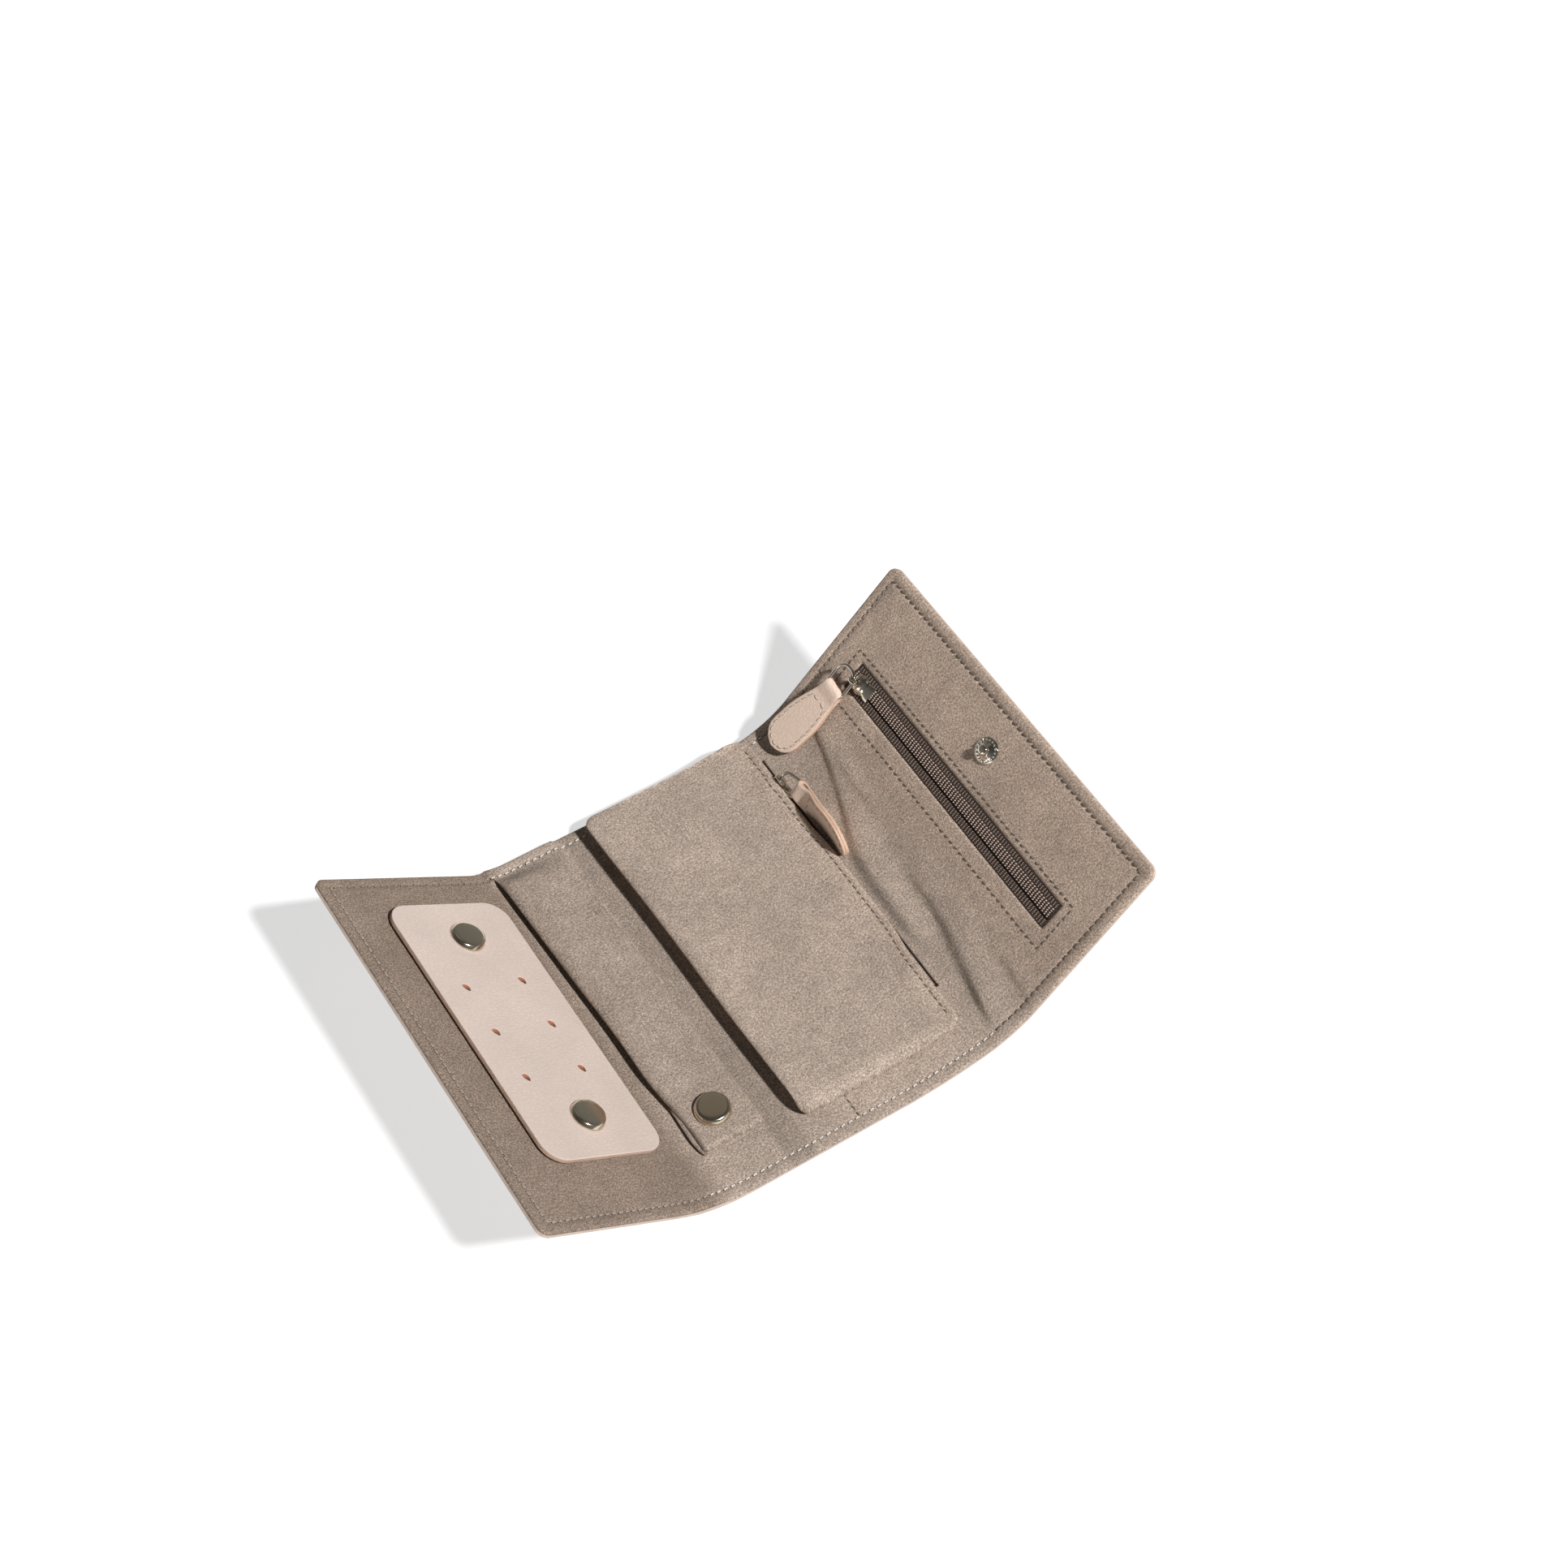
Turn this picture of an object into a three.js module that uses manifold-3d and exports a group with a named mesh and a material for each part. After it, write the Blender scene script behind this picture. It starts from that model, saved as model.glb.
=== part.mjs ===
// Tri-fold jewelry roll, lying open with its suede lining up and both end panels raised.
// X runs along the roll from the earring panel to the zip panel, Y across it, Z up.
// The origin is the centre of the flat underside of the middle panel. Millimetres.
import * as THREE from 'three';
import { mergeVertices } from 'three/addons/utils/BufferGeometryUtils.js';
import Module from 'manifold-3d';

const wasm = await Module();
wasm.setup();

const DEGREE = Math.PI / 180;

// Sheet: a leather cover outside and a suede lining inside
const WIDTH = 150;
const LINING = 1.1;
const COVER = 1.4;
const CLEAR = 0.3;
const CORNER = 3.5;
const SHEET = LINING + CLEAR + COVER;

// Panels and folds, measured along the top of the lining
const MIDDLE_FLAT = 63.8;
const BEND_ANGLE = 16 * DEGREE;
const LEFT_PANEL = 67.5;
const RIGHT_PANEL = 66;
const LEFT_STRIP = 5.54;
const RIGHT_STRIP = 7;
const LEFT_TILT = 36.5 * DEGREE;
const RIGHT_TILT = 46 * DEGREE;
const FOLD_HINGES = 3;
const FOLD_SLIT = 0.5;

// Press snaps: a capped rivet and socket above, a stud below
const CAP_RADIUS = 6.25;
const CAP_HEIGHT = 1.5;
const SHANK_RADIUS = 1.2;
const SOCKET_RADIUS = 4.4;
const SOCKET_HEIGHT = 1;
const POST_RADIUS = 1.75;
const STUD_BASE = 0.4;
const SNAP_STANDOFF = 0.9;

// Earring plate on the left panel
const PLATE_WIDTH = 49.6;
const PLATE_LENGTH = 110.4;
const PLATE_THICKNESS = 1.7;
const PLATE_CORNER = 8;
const PLATE_FROM_FOLD = 0.7;
const PLATE_Y = 4.2;
const PLATE_SNAP_FROM_END = 15.95;
const SLIT_COLUMN_SPACING = 25.2;
const SLIT_FROM_SNAP = 19.75;
const SLIT_ROWS = 3;
const SLIT_LENGTH = 2.6;
const SLIT_BREADTH = 1.5;

// Ring bar on the middle panel: a stuffed suede roll, sewn in at its far end
const BAR_FROM_FOLD = -0.9;
const BAR_WIDTH = 20.8;
const BAR_NEAR_MARGIN = 17.5;
const BAR_FAR_MARGIN = 4;
const BAR_CROWN = 5.5;
const BAR_STRAP = 3.4;
const BAR_STRAP_LENGTH = 20;
const BAR_SEWN_END = 2.4;
const BAR_SWELL = 20;
const BAR_SNAP_FROM_END = 11.5;

// Zip pouch on the middle panel
const POUCH_FROM_FOLD = 33.4;
const POUCH_WIDTH = 61.3;
const POUCH_TO_RIGHT_FOLD = 5.57;
const POUCH_NEAR_MARGIN = 13.5;
const POUCH_FAR_MARGIN = 4;
const POUCH_CORNER = 6;
const POUCH_PLY = 1.2;
const POUCH_HEIGHT = 6.4;
const POUCH_MOUTH = 4.6;
const POUCH_WALL = 1.6;
const POUCH_ZIP_FROM_MOUTH = 2.6;
const POUCH_ZIP_NEAR_MARGIN = 14;
const POUCH_ZIP_FAR_MARGIN = 13;

// Zip pocket in the right panel's lining
const WINDOW_FROM_FOLD = 23.7;
const WINDOW_WIDTH = 10.3;
const WINDOW_NEAR_MARGIN = 17.2;
const WINDOW_FAR_MARGIN = 15.2;
const WINDOW_CORNER = 1.2;

// Zips
const TAPE = 0.45;
const TOOTH_PITCH = 2.8;
const POCKET_CHAIN_WIDTH = 5.6;
const POUCH_CHAIN_WIDTH = 3.4;
const CHAIN_HEIGHT = 0.9;
const STOP_LENGTH = 2;
const SLIDER_ROOF = 0.8;
const SLIDER_WALL = 0.7;
const SLIDER_LENGTH = 10.4;
const POCKET_SLIDER_FROM_END = 6.3;
const POUCH_SLIDER_FROM_END = 8.5;
const LUG_THICKNESS = 1.2;
const LUG_WALL = 0.8;
const LUG_RISE = 0.6;

// Zip pulls: a wire bail and a leather tab folded over it
const BAIL_WIRE = 0.6;
const BAIL_LENGTH = 8.6;
const POCKET_BAIL_WIDTH = 9;
const POUCH_BAIL_WIDTH = 6.4;
const BAIL_CORNER = 2.4;
const TAB_LENGTH = 30.5;
const TAB_NECK_EASE = 0.6;
const TAB_HEAD = 13.4;
const TAB_THICKNESS = 2.8;
const POCKET_TAB_TURN = 8 * DEGREE;
const POUCH_BAIL_OVERHANG = 1.85;
const POUCH_TAB_TURN = 10 * DEGREE;
const POUCH_TAB_LEAN = 32 * DEGREE;

// Closure snap: a beaded stud inside the right panel, a socket outside the left panel
const CLOSURE_FROM_FOLD = 48.6;
const CLOSURE_RADIUS = 4.7;
const CLOSURE_FLANGE = 0.9;
const CLOSURE_POST = 3.5;
const CLOSURE_SOCKET_HEIGHT = 2.3;
const BEAD_RADIUS = 0.5;
const BEAD_COUNT = 16;

const finishes = {
  leather: { color: 0xdcc8bb, roughness: 0.62, metalness: 0 },
  suede: { color: 0xa6978a, roughness: 0.95, metalness: 0 },
  tape: { color: 0x4b3c34, roughness: 0.9, metalness: 0 },
  nickel: { color: 0xb9b3a6, roughness: 0.25, metalness: 1 },
};

function piece(parent, name, geometry, finish) {
  const mesh = new THREE.Mesh(geometry, new THREE.MeshStandardMaterial(finishes[finish]));
  mesh.name = name;
  parent.add(mesh);
  return mesh;
}

function frame(parent, x, y, z, turn = 0) {
  const group = new THREE.Group();
  group.position.set(x, y, z);
  group.rotation.y = turn;
  parent.add(group);
  return group;
}

// Booleans
function toSolid(geometry) {
  const bare = new THREE.BufferGeometry();
  bare.setAttribute('position', geometry.getAttribute('position').clone());
  if (geometry.index) bare.setIndex(geometry.index.clone());
  const merged = mergeVertices(bare, 1e-4);
  return new wasm.Manifold(new wasm.Mesh({
    numProp: 3,
    vertProperties: new Float32Array(merged.getAttribute('position').array),
    triVerts: new Uint32Array(merged.index.array),
  }));
}

function toGeometry(solid) {
  const mesh = solid.getMesh();
  const geometry = new THREE.BufferGeometry();
  geometry.setAttribute('position', new THREE.BufferAttribute(mesh.vertProperties, 3));
  geometry.setIndex(new THREE.BufferAttribute(mesh.triVerts, 1));
  geometry.computeVertexNormals();
  return geometry;
}

function cut(geometry, ...tools) {
  return toGeometry(tools.reduce((rest, tool) => rest.subtract(toSolid(tool)), toSolid(geometry)));
}

function join(geometry, ...others) {
  return toGeometry(others.reduce((sum, other) => sum.add(toSolid(other)), toSolid(geometry)));
}

// Basic forms
function slab(shape, bottom, top) {
  const geometry = new THREE.ExtrudeGeometry(shape, {
    depth: top - bottom, bevelEnabled: false, curveSegments: 6,
  });
  return geometry.translate(0, 0, bottom);
}

function box(xLow, xHigh, yLow, yHigh, zLow, zHigh) {
  const geometry = new THREE.BoxGeometry(xHigh - xLow, yHigh - yLow, zHigh - zLow);
  return geometry.translate((xLow + xHigh) / 2, (yLow + yHigh) / 2, (zLow + zHigh) / 2);
}

// A section drawn in X and Z, run from one Y to another
function runAlongY(shape, yLow, yHigh) {
  const geometry = new THREE.ExtrudeGeometry(shape, {
    depth: yHigh - yLow, bevelEnabled: false, curveSegments: 10,
  });
  return geometry.rotateX(Math.PI / 2).translate(0, yHigh, 0);
}

// A section drawn in Y and Z, run from one X to another
function runAlongX(shape, xLow, xHigh) {
  const geometry = new THREE.ExtrudeGeometry(shape, {
    depth: xHigh - xLow, bevelEnabled: false, curveSegments: 8,
  });
  return geometry.rotateX(Math.PI / 2).rotateZ(Math.PI / 2).translate(xLow, 0, 0);
}

// A turned form about Z, from [radius, height] pairs that start and end on the axis or close
function turned(points, sides = 28) {
  const profile = points.map(([radius, height]) => new THREE.Vector2(radius, height));
  return new THREE.LatheGeometry(profile, sides).rotateX(Math.PI / 2);
}

function rod(radius, bottom, top, sides = 20) {
  return turned([[0, bottom], [radius, bottom], [radius, top], [0, top]], sides);
}

function roundedRectangle(xLow, xHigh, yLow, yHigh, radius, path = new THREE.Shape()) {
  path.moveTo(xLow + radius, yLow);
  path.lineTo(xHigh - radius, yLow);
  path.absarc(xHigh - radius, yLow + radius, radius, -Math.PI / 2, 0);
  path.lineTo(xHigh, yHigh - radius);
  path.absarc(xHigh - radius, yHigh - radius, radius, 0, Math.PI / 2);
  path.lineTo(xLow + radius, yHigh);
  path.absarc(xLow + radius, yHigh - radius, radius, Math.PI / 2, Math.PI);
  path.lineTo(xLow, yLow + radius);
  path.absarc(xLow + radius, yLow + radius, radius, Math.PI, 1.5 * Math.PI);
  return path;
}

function roundHole(x, y, radius) {
  return new THREE.Path().absarc(x, y, radius, 0, 2 * Math.PI, true);
}

// A closed skin through equal rings of points, with flat ends
function loft(rings) {
  const count = rings[0].length;
  const points = rings.flat();
  const first = points.length;
  points.push(middleOf(rings[0]), middleOf(rings[rings.length - 1]));
  const index = [];
  for (let r = 0; r + 1 < rings.length; r += 1) {
    for (let i = 0; i < count; i += 1) {
      const a = r * count + i;
      const b = r * count + (i + 1) % count;
      index.push(a, b, a + count, b, b + count, a + count);
    }
  }
  const last = (rings.length - 1) * count;
  for (let i = 0; i < count; i += 1) {
    const next = (i + 1) % count;
    index.push(first, next, i);
    index.push(first + 1, last + i, last + next);
  }
  const geometry = new THREE.BufferGeometry().setFromPoints(points);
  geometry.setIndex(index);
  geometry.computeVertexNormals();
  return geometry;
}

function middleOf(points) {
  const sum = points.reduce((total, point) => total.add(point), new THREE.Vector3());
  return sum.divideScalar(points.length);
}

function smooth(value, from, to) {
  return THREE.MathUtils.smoothstep(value, from, to);
}

// The middle panel's lining: flat, then bent up under the zip edge of the pouch
const foldLeftX = -MIDDLE_FLAT / 2;
const bendStart = MIDDLE_FLAT / 2;
const pouchLow = foldLeftX + POUCH_FROM_FOLD;
const pouchHigh = pouchLow + POUCH_WIDTH;
const middleEnd = pouchHigh + POUCH_TO_RIGHT_FOLD;
const bendRadius = (middleEnd - bendStart) / BEND_ANGLE;

function onMiddle(along, y, height) {
  const angle = Math.max(0, along - bendStart) / bendRadius;
  const flat = Math.min(along, bendStart);
  const reach = bendRadius - height;
  return new THREE.Vector3(flat + reach * Math.sin(angle), y, bendRadius - reach * Math.cos(angle));
}

function middlePly(depthTop, depthBottom) {
  const near = -MIDDLE_FLAT / 2 + FOLD_SLIT / 2;
  const stop = -Math.PI / 2 + BEND_ANGLE - FOLD_SLIT / 2 / bendRadius;
  const shape = new THREE.Shape();
  shape.moveTo(near, -depthBottom);
  shape.lineTo(bendStart, -depthBottom);
  shape.absarc(bendStart, bendRadius, bendRadius + depthBottom, -Math.PI / 2, stop);
  shape.absarc(bendStart, bendRadius, bendRadius + depthTop, stop, -Math.PI / 2, true);
  shape.lineTo(near, -depthTop);
  return runAlongY(shape, -WIDTH / 2, WIDTH / 2);
}

// A soft sheet laid on the middle panel, with rounded corners and its own upper and lower heights
function laidSheet(low, high, near, far, radius, lower, upper, columns = 20, rows = 12) {
  const rings = [];
  for (let c = 0; c <= columns; c += 1) {
    const t = (1 - Math.cos(Math.PI * c / columns)) / 2;
    const along = low + (high - low) * t;
    const edge = Math.min(along - low, high - along, radius);
    const inset = radius - Math.sqrt(radius * radius - (radius - edge) ** 2);
    const above = [];
    const below = [];
    for (let r = 0; r <= rows; r += 1) {
      const share = (1 - Math.cos(Math.PI * r / rows)) / 2;
      const y = near + inset + (far - near - 2 * inset) * share;
      above.push(onMiddle(along, y, upper(along, y)));
      below.push(onMiddle(along, y, lower(along, y)));
    }
    rings.push(below.concat(above.reverse()));
  }
  return loft(rings);
}

// Sheets of the end panels and folds; side is -1 to the left and 1 to the right
function panelOutline(length, side) {
  const half = WIDTH / 2;
  const turn = length - CORNER;
  const shape = new THREE.Shape();
  shape.moveTo(FOLD_SLIT / 2, -half);
  shape.lineTo(turn, -half);
  shape.absarc(turn, -half + CORNER, CORNER, -Math.PI / 2, 0);
  shape.lineTo(length, half - CORNER);
  shape.absarc(turn, half - CORNER, CORNER, 0, Math.PI / 2);
  shape.lineTo(FOLD_SLIT / 2, half);
  return new THREE.Shape(shape.getPoints(6).map((p) => p.multiplyScalar(side)));
}

function foldChain(start, strip, tilt, side, name) {
  const step = -side * tilt / FOLD_HINGES;
  let hinge = frame(start, 0, 0, 0, step);
  for (let i = 1; i < FOLD_HINGES; i += 1) {
    const from = Math.min(side * FOLD_SLIT / 2, side * (strip - FOLD_SLIT / 2));
    const to = from + strip - FOLD_SLIT;
    const half = WIDTH / 2;
    piece(hinge, `lining_fold_${name}_${i}`, box(from, to, -half, half, -LINING, 0), 'suede');
    piece(hinge, `cover_fold_${name}_${i}`, box(from, to, -half, half, -SHEET, -LINING - CLEAR), 'leather');
    hinge = frame(hinge, side * strip, 0, 0, step);
  }
  return hinge;
}

// Press snap pieces, with z 0 on top of the lining
const studBottom = -LINING - CLEAR + CLEAR;
const socketTop = SNAP_STANDOFF - CLEAR;
const socketBottom = socketTop - SOCKET_HEIGHT;
const liningHole = SOCKET_RADIUS + CLEAR + 0.3;

function snapStud() {
  const base = studBottom + STUD_BASE;
  const top = socketTop - CLEAR / 2;
  const baseRadius = SOCKET_RADIUS;
  return turned([
    [0, studBottom], [baseRadius, studBottom], [baseRadius, base],
    [POST_RADIUS, base], [POST_RADIUS, top - 0.3], [POST_RADIUS - 0.3, top], [0, top],
  ]);
}

function snapSocket() {
  const bore = POST_RADIUS + CLEAR;
  const rim = SOCKET_RADIUS - 0.3;
  return turned([
    [bore, socketBottom], [rim, socketBottom], [SOCKET_RADIUS, socketBottom + 0.3],
    [SOCKET_RADIUS, socketTop], [bore, socketTop], [bore, socketBottom],
  ]);
}

// A low domed cap with a rolled rim; its shank reaches down through what it holds
function snapCap(seat, shankEnd) {
  const rim = seat + CAP_HEIGHT * 0.45;
  const shoulder = seat + CAP_HEIGHT * 0.78;
  return turned([
    [0, shankEnd], [SHANK_RADIUS, shankEnd], [SHANK_RADIUS, seat], [CAP_RADIUS - 0.35, seat],
    [CAP_RADIUS, seat + 0.3], [CAP_RADIUS, rim], [CAP_RADIUS - 0.5, shoulder],
    [CAP_RADIUS * 0.6, seat + CAP_HEIGHT * 0.95], [0, seat + CAP_HEIGHT],
  ], 36);
}

// Zips, in a frame whose X runs across the chain and Y along it, with z 0 under the tapes
const chainBottom = TAPE + CLEAR;
const chainTop = chainBottom + CHAIN_HEIGHT;

// One half of a closed chain: a spine with teeth that reach across between the other half's teeth
function chainComb(width, near, far, side) {
  const reach = width / 2 - 0.9;
  const spine = reach + CLEAR;
  const toothWidth = TOOTH_PITCH / 2 - CLEAR;
  const count = Math.floor((far - near) / TOOTH_PITCH);
  const start = near + (side > 0 ? TOOTH_PITCH / 2 : 0);
  const points = [[side * width / 2, near], [side * spine, near]];
  for (let i = 0; i < count; i += 1) {
    const foot = start + i * TOOTH_PITCH + CLEAR / 2;
    const bevel = toothWidth * 0.2;
    points.push([side * spine, foot], [-side * reach, foot + bevel]);
    points.push([-side * reach, foot + toothWidth - bevel], [side * spine, foot + toothWidth]);
  }
  points.push([side * spine, far], [side * width / 2, far]);
  return slab(new THREE.Shape(points.map(([x, y]) => new THREE.Vector2(x, y))), chainBottom, chainTop);
}

function zip(parent, name, tapeLeft, tapeRight, chainWidth, near, far) {
  const toothNear = near + STOP_LENGTH + CLEAR;
  const toothFar = far - STOP_LENGTH - CLEAR;
  piece(parent, `${name}_tape_left`, box(-tapeLeft, -CLEAR / 2, near, far, 0, TAPE), 'tape');
  piece(parent, `${name}_tape_right`, box(CLEAR / 2, tapeRight, near, far, 0, TAPE), 'tape');
  piece(parent, `${name}_chain_left`, chainComb(chainWidth, toothNear, toothFar, -1), 'tape');
  piece(parent, `${name}_chain_right`, chainComb(chainWidth, toothNear, toothFar, 1), 'tape');
  const half = chainWidth / 2;
  const stops = { near: [near, near + STOP_LENGTH], far: [far - STOP_LENGTH, far] };
  for (const [end, [low, high]] of Object.entries(stops)) {
    const stop = roundedRectangle(-half, half, low, high, 0.6);
    piece(parent, `${name}_stop_${end}`, slab(stop, chainBottom, chainTop), 'nickel');
  }
}

const roofBottom = chainTop + CLEAR;
const roofTop = roofBottom + SLIDER_ROOF;
const lugHole = BAIL_WIRE + 0.75;
const lugCentre = roofTop + lugHole + LUG_RISE;

// The slider straddles the chain: a roof, two skirts, a waisted outline and an arched lug
function slider(chainWidth, lugAt) {
  const inner = chainWidth / 2 + CLEAR;
  const outer = inner + SLIDER_WALL;
  const section = new THREE.Shape();
  section.moveTo(-outer, chainBottom + CLEAR);
  section.lineTo(-inner, chainBottom + CLEAR);
  section.lineTo(-inner, roofBottom);
  section.lineTo(inner, roofBottom);
  section.lineTo(inner, chainBottom + CLEAR);
  section.lineTo(outer, chainBottom + CLEAR);
  section.lineTo(outer, roofTop - 0.3);
  section.lineTo(outer - 0.3, roofTop);
  section.lineTo(-outer + 0.3, roofTop);
  section.lineTo(-outer, roofTop - 0.3);
  const half = SLIDER_LENGTH / 2;
  const body = runAlongY(section, -half, half);
  const arch = new THREE.Shape();
  const reach = lugHole + LUG_WALL;
  arch.moveTo(lugAt - reach, roofTop - 0.2);
  arch.lineTo(lugAt + reach, roofTop - 0.2);
  arch.lineTo(lugAt + reach, lugCentre);
  arch.absarc(lugAt, lugCentre, reach, 0, Math.PI);
  arch.holes.push(roundHole(lugAt, lugCentre, lugHole));
  return join(body, runAlongX(arch, -LUG_THICKNESS / 2, LUG_THICKNESS / 2));
}

// A bail lies flat in X and Y, from x 0 to -BAIL_LENGTH; the tab is folded over its far bar
function bail(width, wire = BAIL_WIRE) {
  const outline = roundedRectangle(-BAIL_LENGTH, 0, 0, width, BAIL_CORNER);
  const points = outline.getSpacedPoints(40).slice(0, -1);
  const path = new THREE.CatmullRomCurve3(points.map((p) => new THREE.Vector3(p.x, p.y, 0)), true);
  return new THREE.TubeGeometry(path, 48, wire, 8, true);
}

function pullTab(bailWidth, turn) {
  const neck = (bailWidth - TAB_NECK_EASE) / 2;
  const head = TAB_HEAD / 2;
  const start = BAIL_WIRE + 0.9;
  const round = -TAB_LENGTH + head;
  const shape = new THREE.Shape();
  shape.moveTo(start, -neck);
  shape.lineTo(start, neck);
  shape.lineTo(-4, neck);
  shape.bezierCurveTo(-9, neck, round + 8, head, round, head);
  shape.absarc(round, 0, head, Math.PI / 2, 1.5 * Math.PI);
  shape.bezierCurveTo(round + 8, -head, -9, -neck, -4, -neck);
  const tab = slab(shape, -TAB_THICKNESS / 2, TAB_THICKNESS / 2).rotateZ(turn);
  return cut(tab.translate(-BAIL_LENGTH, bailWidth / 2, 0), bail(bailWidth, BAIL_WIRE + CLEAR));
}

function closureStud() {
  const flange = CLEAR + CLOSURE_FLANGE;
  const disc = turned([
    [0, CLEAR], [CLOSURE_RADIUS, CLEAR], [CLOSURE_RADIUS, flange - 0.25], [CLOSURE_RADIUS - 0.25, flange],
    [POST_RADIUS + 0.9, flange], [POST_RADIUS + 0.2, flange + 0.5], [POST_RADIUS - 0.15, flange + 0.9],
    [POST_RADIUS, CLOSURE_POST - 0.7], [POST_RADIUS - 0.4, CLOSURE_POST - 0.1], [0, CLOSURE_POST],
  ]);
  const ring = CLOSURE_RADIUS - BEAD_RADIUS - 0.3;
  const beads = Array.from({ length: BEAD_COUNT }, (_, i) => {
    const angle = 2 * Math.PI * i / BEAD_COUNT;
    const bead = new THREE.SphereGeometry(BEAD_RADIUS, 6, 4);
    return bead.translate(ring * Math.cos(angle), ring * Math.sin(angle), flange);
  });
  return join(disc, ...beads);
}

function closureSocket() {
  const bore = POST_RADIUS + 2 * CLEAR;
  const face = -SHEET - CLEAR;
  const floor = face - 0.4;
  const lip = face - CLOSURE_SOCKET_HEIGHT;
  return turned([
    [0, floor], [bore, floor], [bore, lip], [CLOSURE_RADIUS - 0.4, lip],
    [CLOSURE_RADIUS, lip + 0.4], [CLOSURE_RADIUS, face], [0, face],
  ]);
}

// Middle panel
const roll = new THREE.Group();
const middle = frame(roll, 0, 0, SHEET);
const barCentre = foldLeftX + BAR_FROM_FOLD + BAR_WIDTH / 2;
const barNear = -WIDTH / 2 + BAR_NEAR_MARGIN;
const barFar = WIDTH / 2 - BAR_FAR_MARGIN;
const barSnapY = barNear + BAR_SNAP_FROM_END;
const barBottom = SNAP_STANDOFF;

const liningHoleTool = rod(liningHole, -LINING - 1, 1, 28).translate(barCentre, barSnapY, 0);
piece(middle, 'cover_middle', middlePly(LINING + CLEAR, SHEET), 'leather');
piece(middle, 'lining_middle', cut(middlePly(0, LINING), liningHoleTool), 'suede');
piece(frame(middle, barCentre, barSnapY, 0), 'ring_stud', snapStud(), 'nickel');

// Ring bar: flat strap at the near end, full crown along its middle, pressed flat in the far seam
function barThickness(y) {
  const strapEnd = barNear + BAR_STRAP_LENGTH;
  const rise = smooth(y, strapEnd, strapEnd + BAR_SWELL);
  const fall = smooth(y, barFar - BAR_SWELL, barFar);
  const full = BAR_STRAP + (BAR_CROWN - BAR_STRAP) * rise;
  return full + (BAR_SEWN_END - full) * fall;
}

function ringRoll() {
  const stations = 18;
  const sides = 20;
  const squareness = 2 / 2.6;
  const rings = [];
  for (let s = 0; s <= stations; s += 1) {
    const y = barNear + (barFar - barNear) * s / stations;
    const thickness = barThickness(y);
    const ring = [];
    for (let i = 0; i < sides; i += 1) {
      const angle = -2 * Math.PI * i / sides;
      const across = Math.sign(Math.cos(angle)) * Math.abs(Math.cos(angle)) ** squareness;
      const up = Math.sign(Math.sin(angle)) * Math.abs(Math.sin(angle)) ** squareness;
      ring.push(new THREE.Vector3(BAR_WIDTH / 2 * across, y - barSnapY, barBottom + thickness / 2 * (1 + up)));
    }
    rings.push(ring);
  }
  const shankHole = rod(SHANK_RADIUS + CLEAR, -1, BAR_CROWN + 3);
  return cut(loft(rings), shankHole);
}

const ringBar = frame(middle, barCentre, barSnapY, 0);
const barTop = barBottom + barThickness(barSnapY);
piece(ringBar, 'ring_roll', ringRoll(), 'suede');
piece(ringBar, 'ring_cap', snapCap(barTop + CLEAR, barBottom), 'nickel');
piece(ringBar, 'ring_socket', snapSocket(), 'nickel');

// Pouch: a back ply on the lining and a raised front ply whose mouth, at the right, is zipped
const pouchNear = -WIDTH / 2 + POUCH_NEAR_MARGIN;
const pouchFar = WIDTH / 2 - POUCH_FAR_MARGIN;
const pouchZipAt = pouchHigh + POUCH_ZIP_FROM_MOUTH;
const pouchSliderHalf = POUCH_CHAIN_WIDTH / 2 + CLEAR + SLIDER_WALL;
const pouchTapeLeft = 4;
const pouchTapeRight = Math.min(pouchSliderHalf, middleEnd - FOLD_SLIT - pouchZipAt);
const backPlyHigh = pouchZipAt - pouchTapeLeft - CLEAR;
const frontLower = CLEAR + POUCH_PLY + CLEAR;

function pouchTop(along, y) {
  const slope = smooth(along, pouchLow + POUCH_WIDTH * 0.35, pouchHigh);
  const height = POUCH_HEIGHT + (POUCH_MOUTH - POUCH_HEIGHT) * slope;
  const rim = Math.min(along - pouchLow, y - pouchNear, pouchFar - y);
  return height - 1.4 * (1 - smooth(rim, 0, 4.5)) ** 2;
}

function pouchFront() {
  const outer = laidSheet(
    pouchLow, pouchHigh, pouchNear, pouchFar, POUCH_CORNER, () => frontLower, pouchTop,
  );
  const inner = laidSheet(
    pouchLow + POUCH_WALL, pouchHigh + 4, pouchNear + POUCH_WALL, pouchFar - POUCH_WALL,
    POUCH_CORNER - POUCH_WALL, () => frontLower - 1, (along, y) => pouchTop(along, y) - POUCH_PLY,
  );
  return cut(outer, inner);
}

piece(middle, 'pouch_front', pouchFront(), 'suede');
const pouchBack = laidSheet(
  pouchLow, backPlyHigh, pouchNear, pouchFar, POUCH_CORNER, () => CLEAR, () => CLEAR + POUCH_PLY, 16, 2,
);
piece(middle, 'pouch_back', pouchBack, 'suede');

const zipPoint = onMiddle(pouchZipAt, 0, CLEAR);
const zipTurn = -(pouchZipAt - bendStart) / bendRadius;
const pouchZip = frame(middle, zipPoint.x, 0, zipPoint.z, zipTurn);
const pouchZipNear = pouchNear + POUCH_ZIP_NEAR_MARGIN;
const pouchZipFar = pouchFar - POUCH_ZIP_FAR_MARGIN;
zip(pouchZip, 'pouch', pouchTapeLeft, pouchTapeRight, POUCH_CHAIN_WIDTH, pouchZipNear, pouchZipFar);

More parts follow.
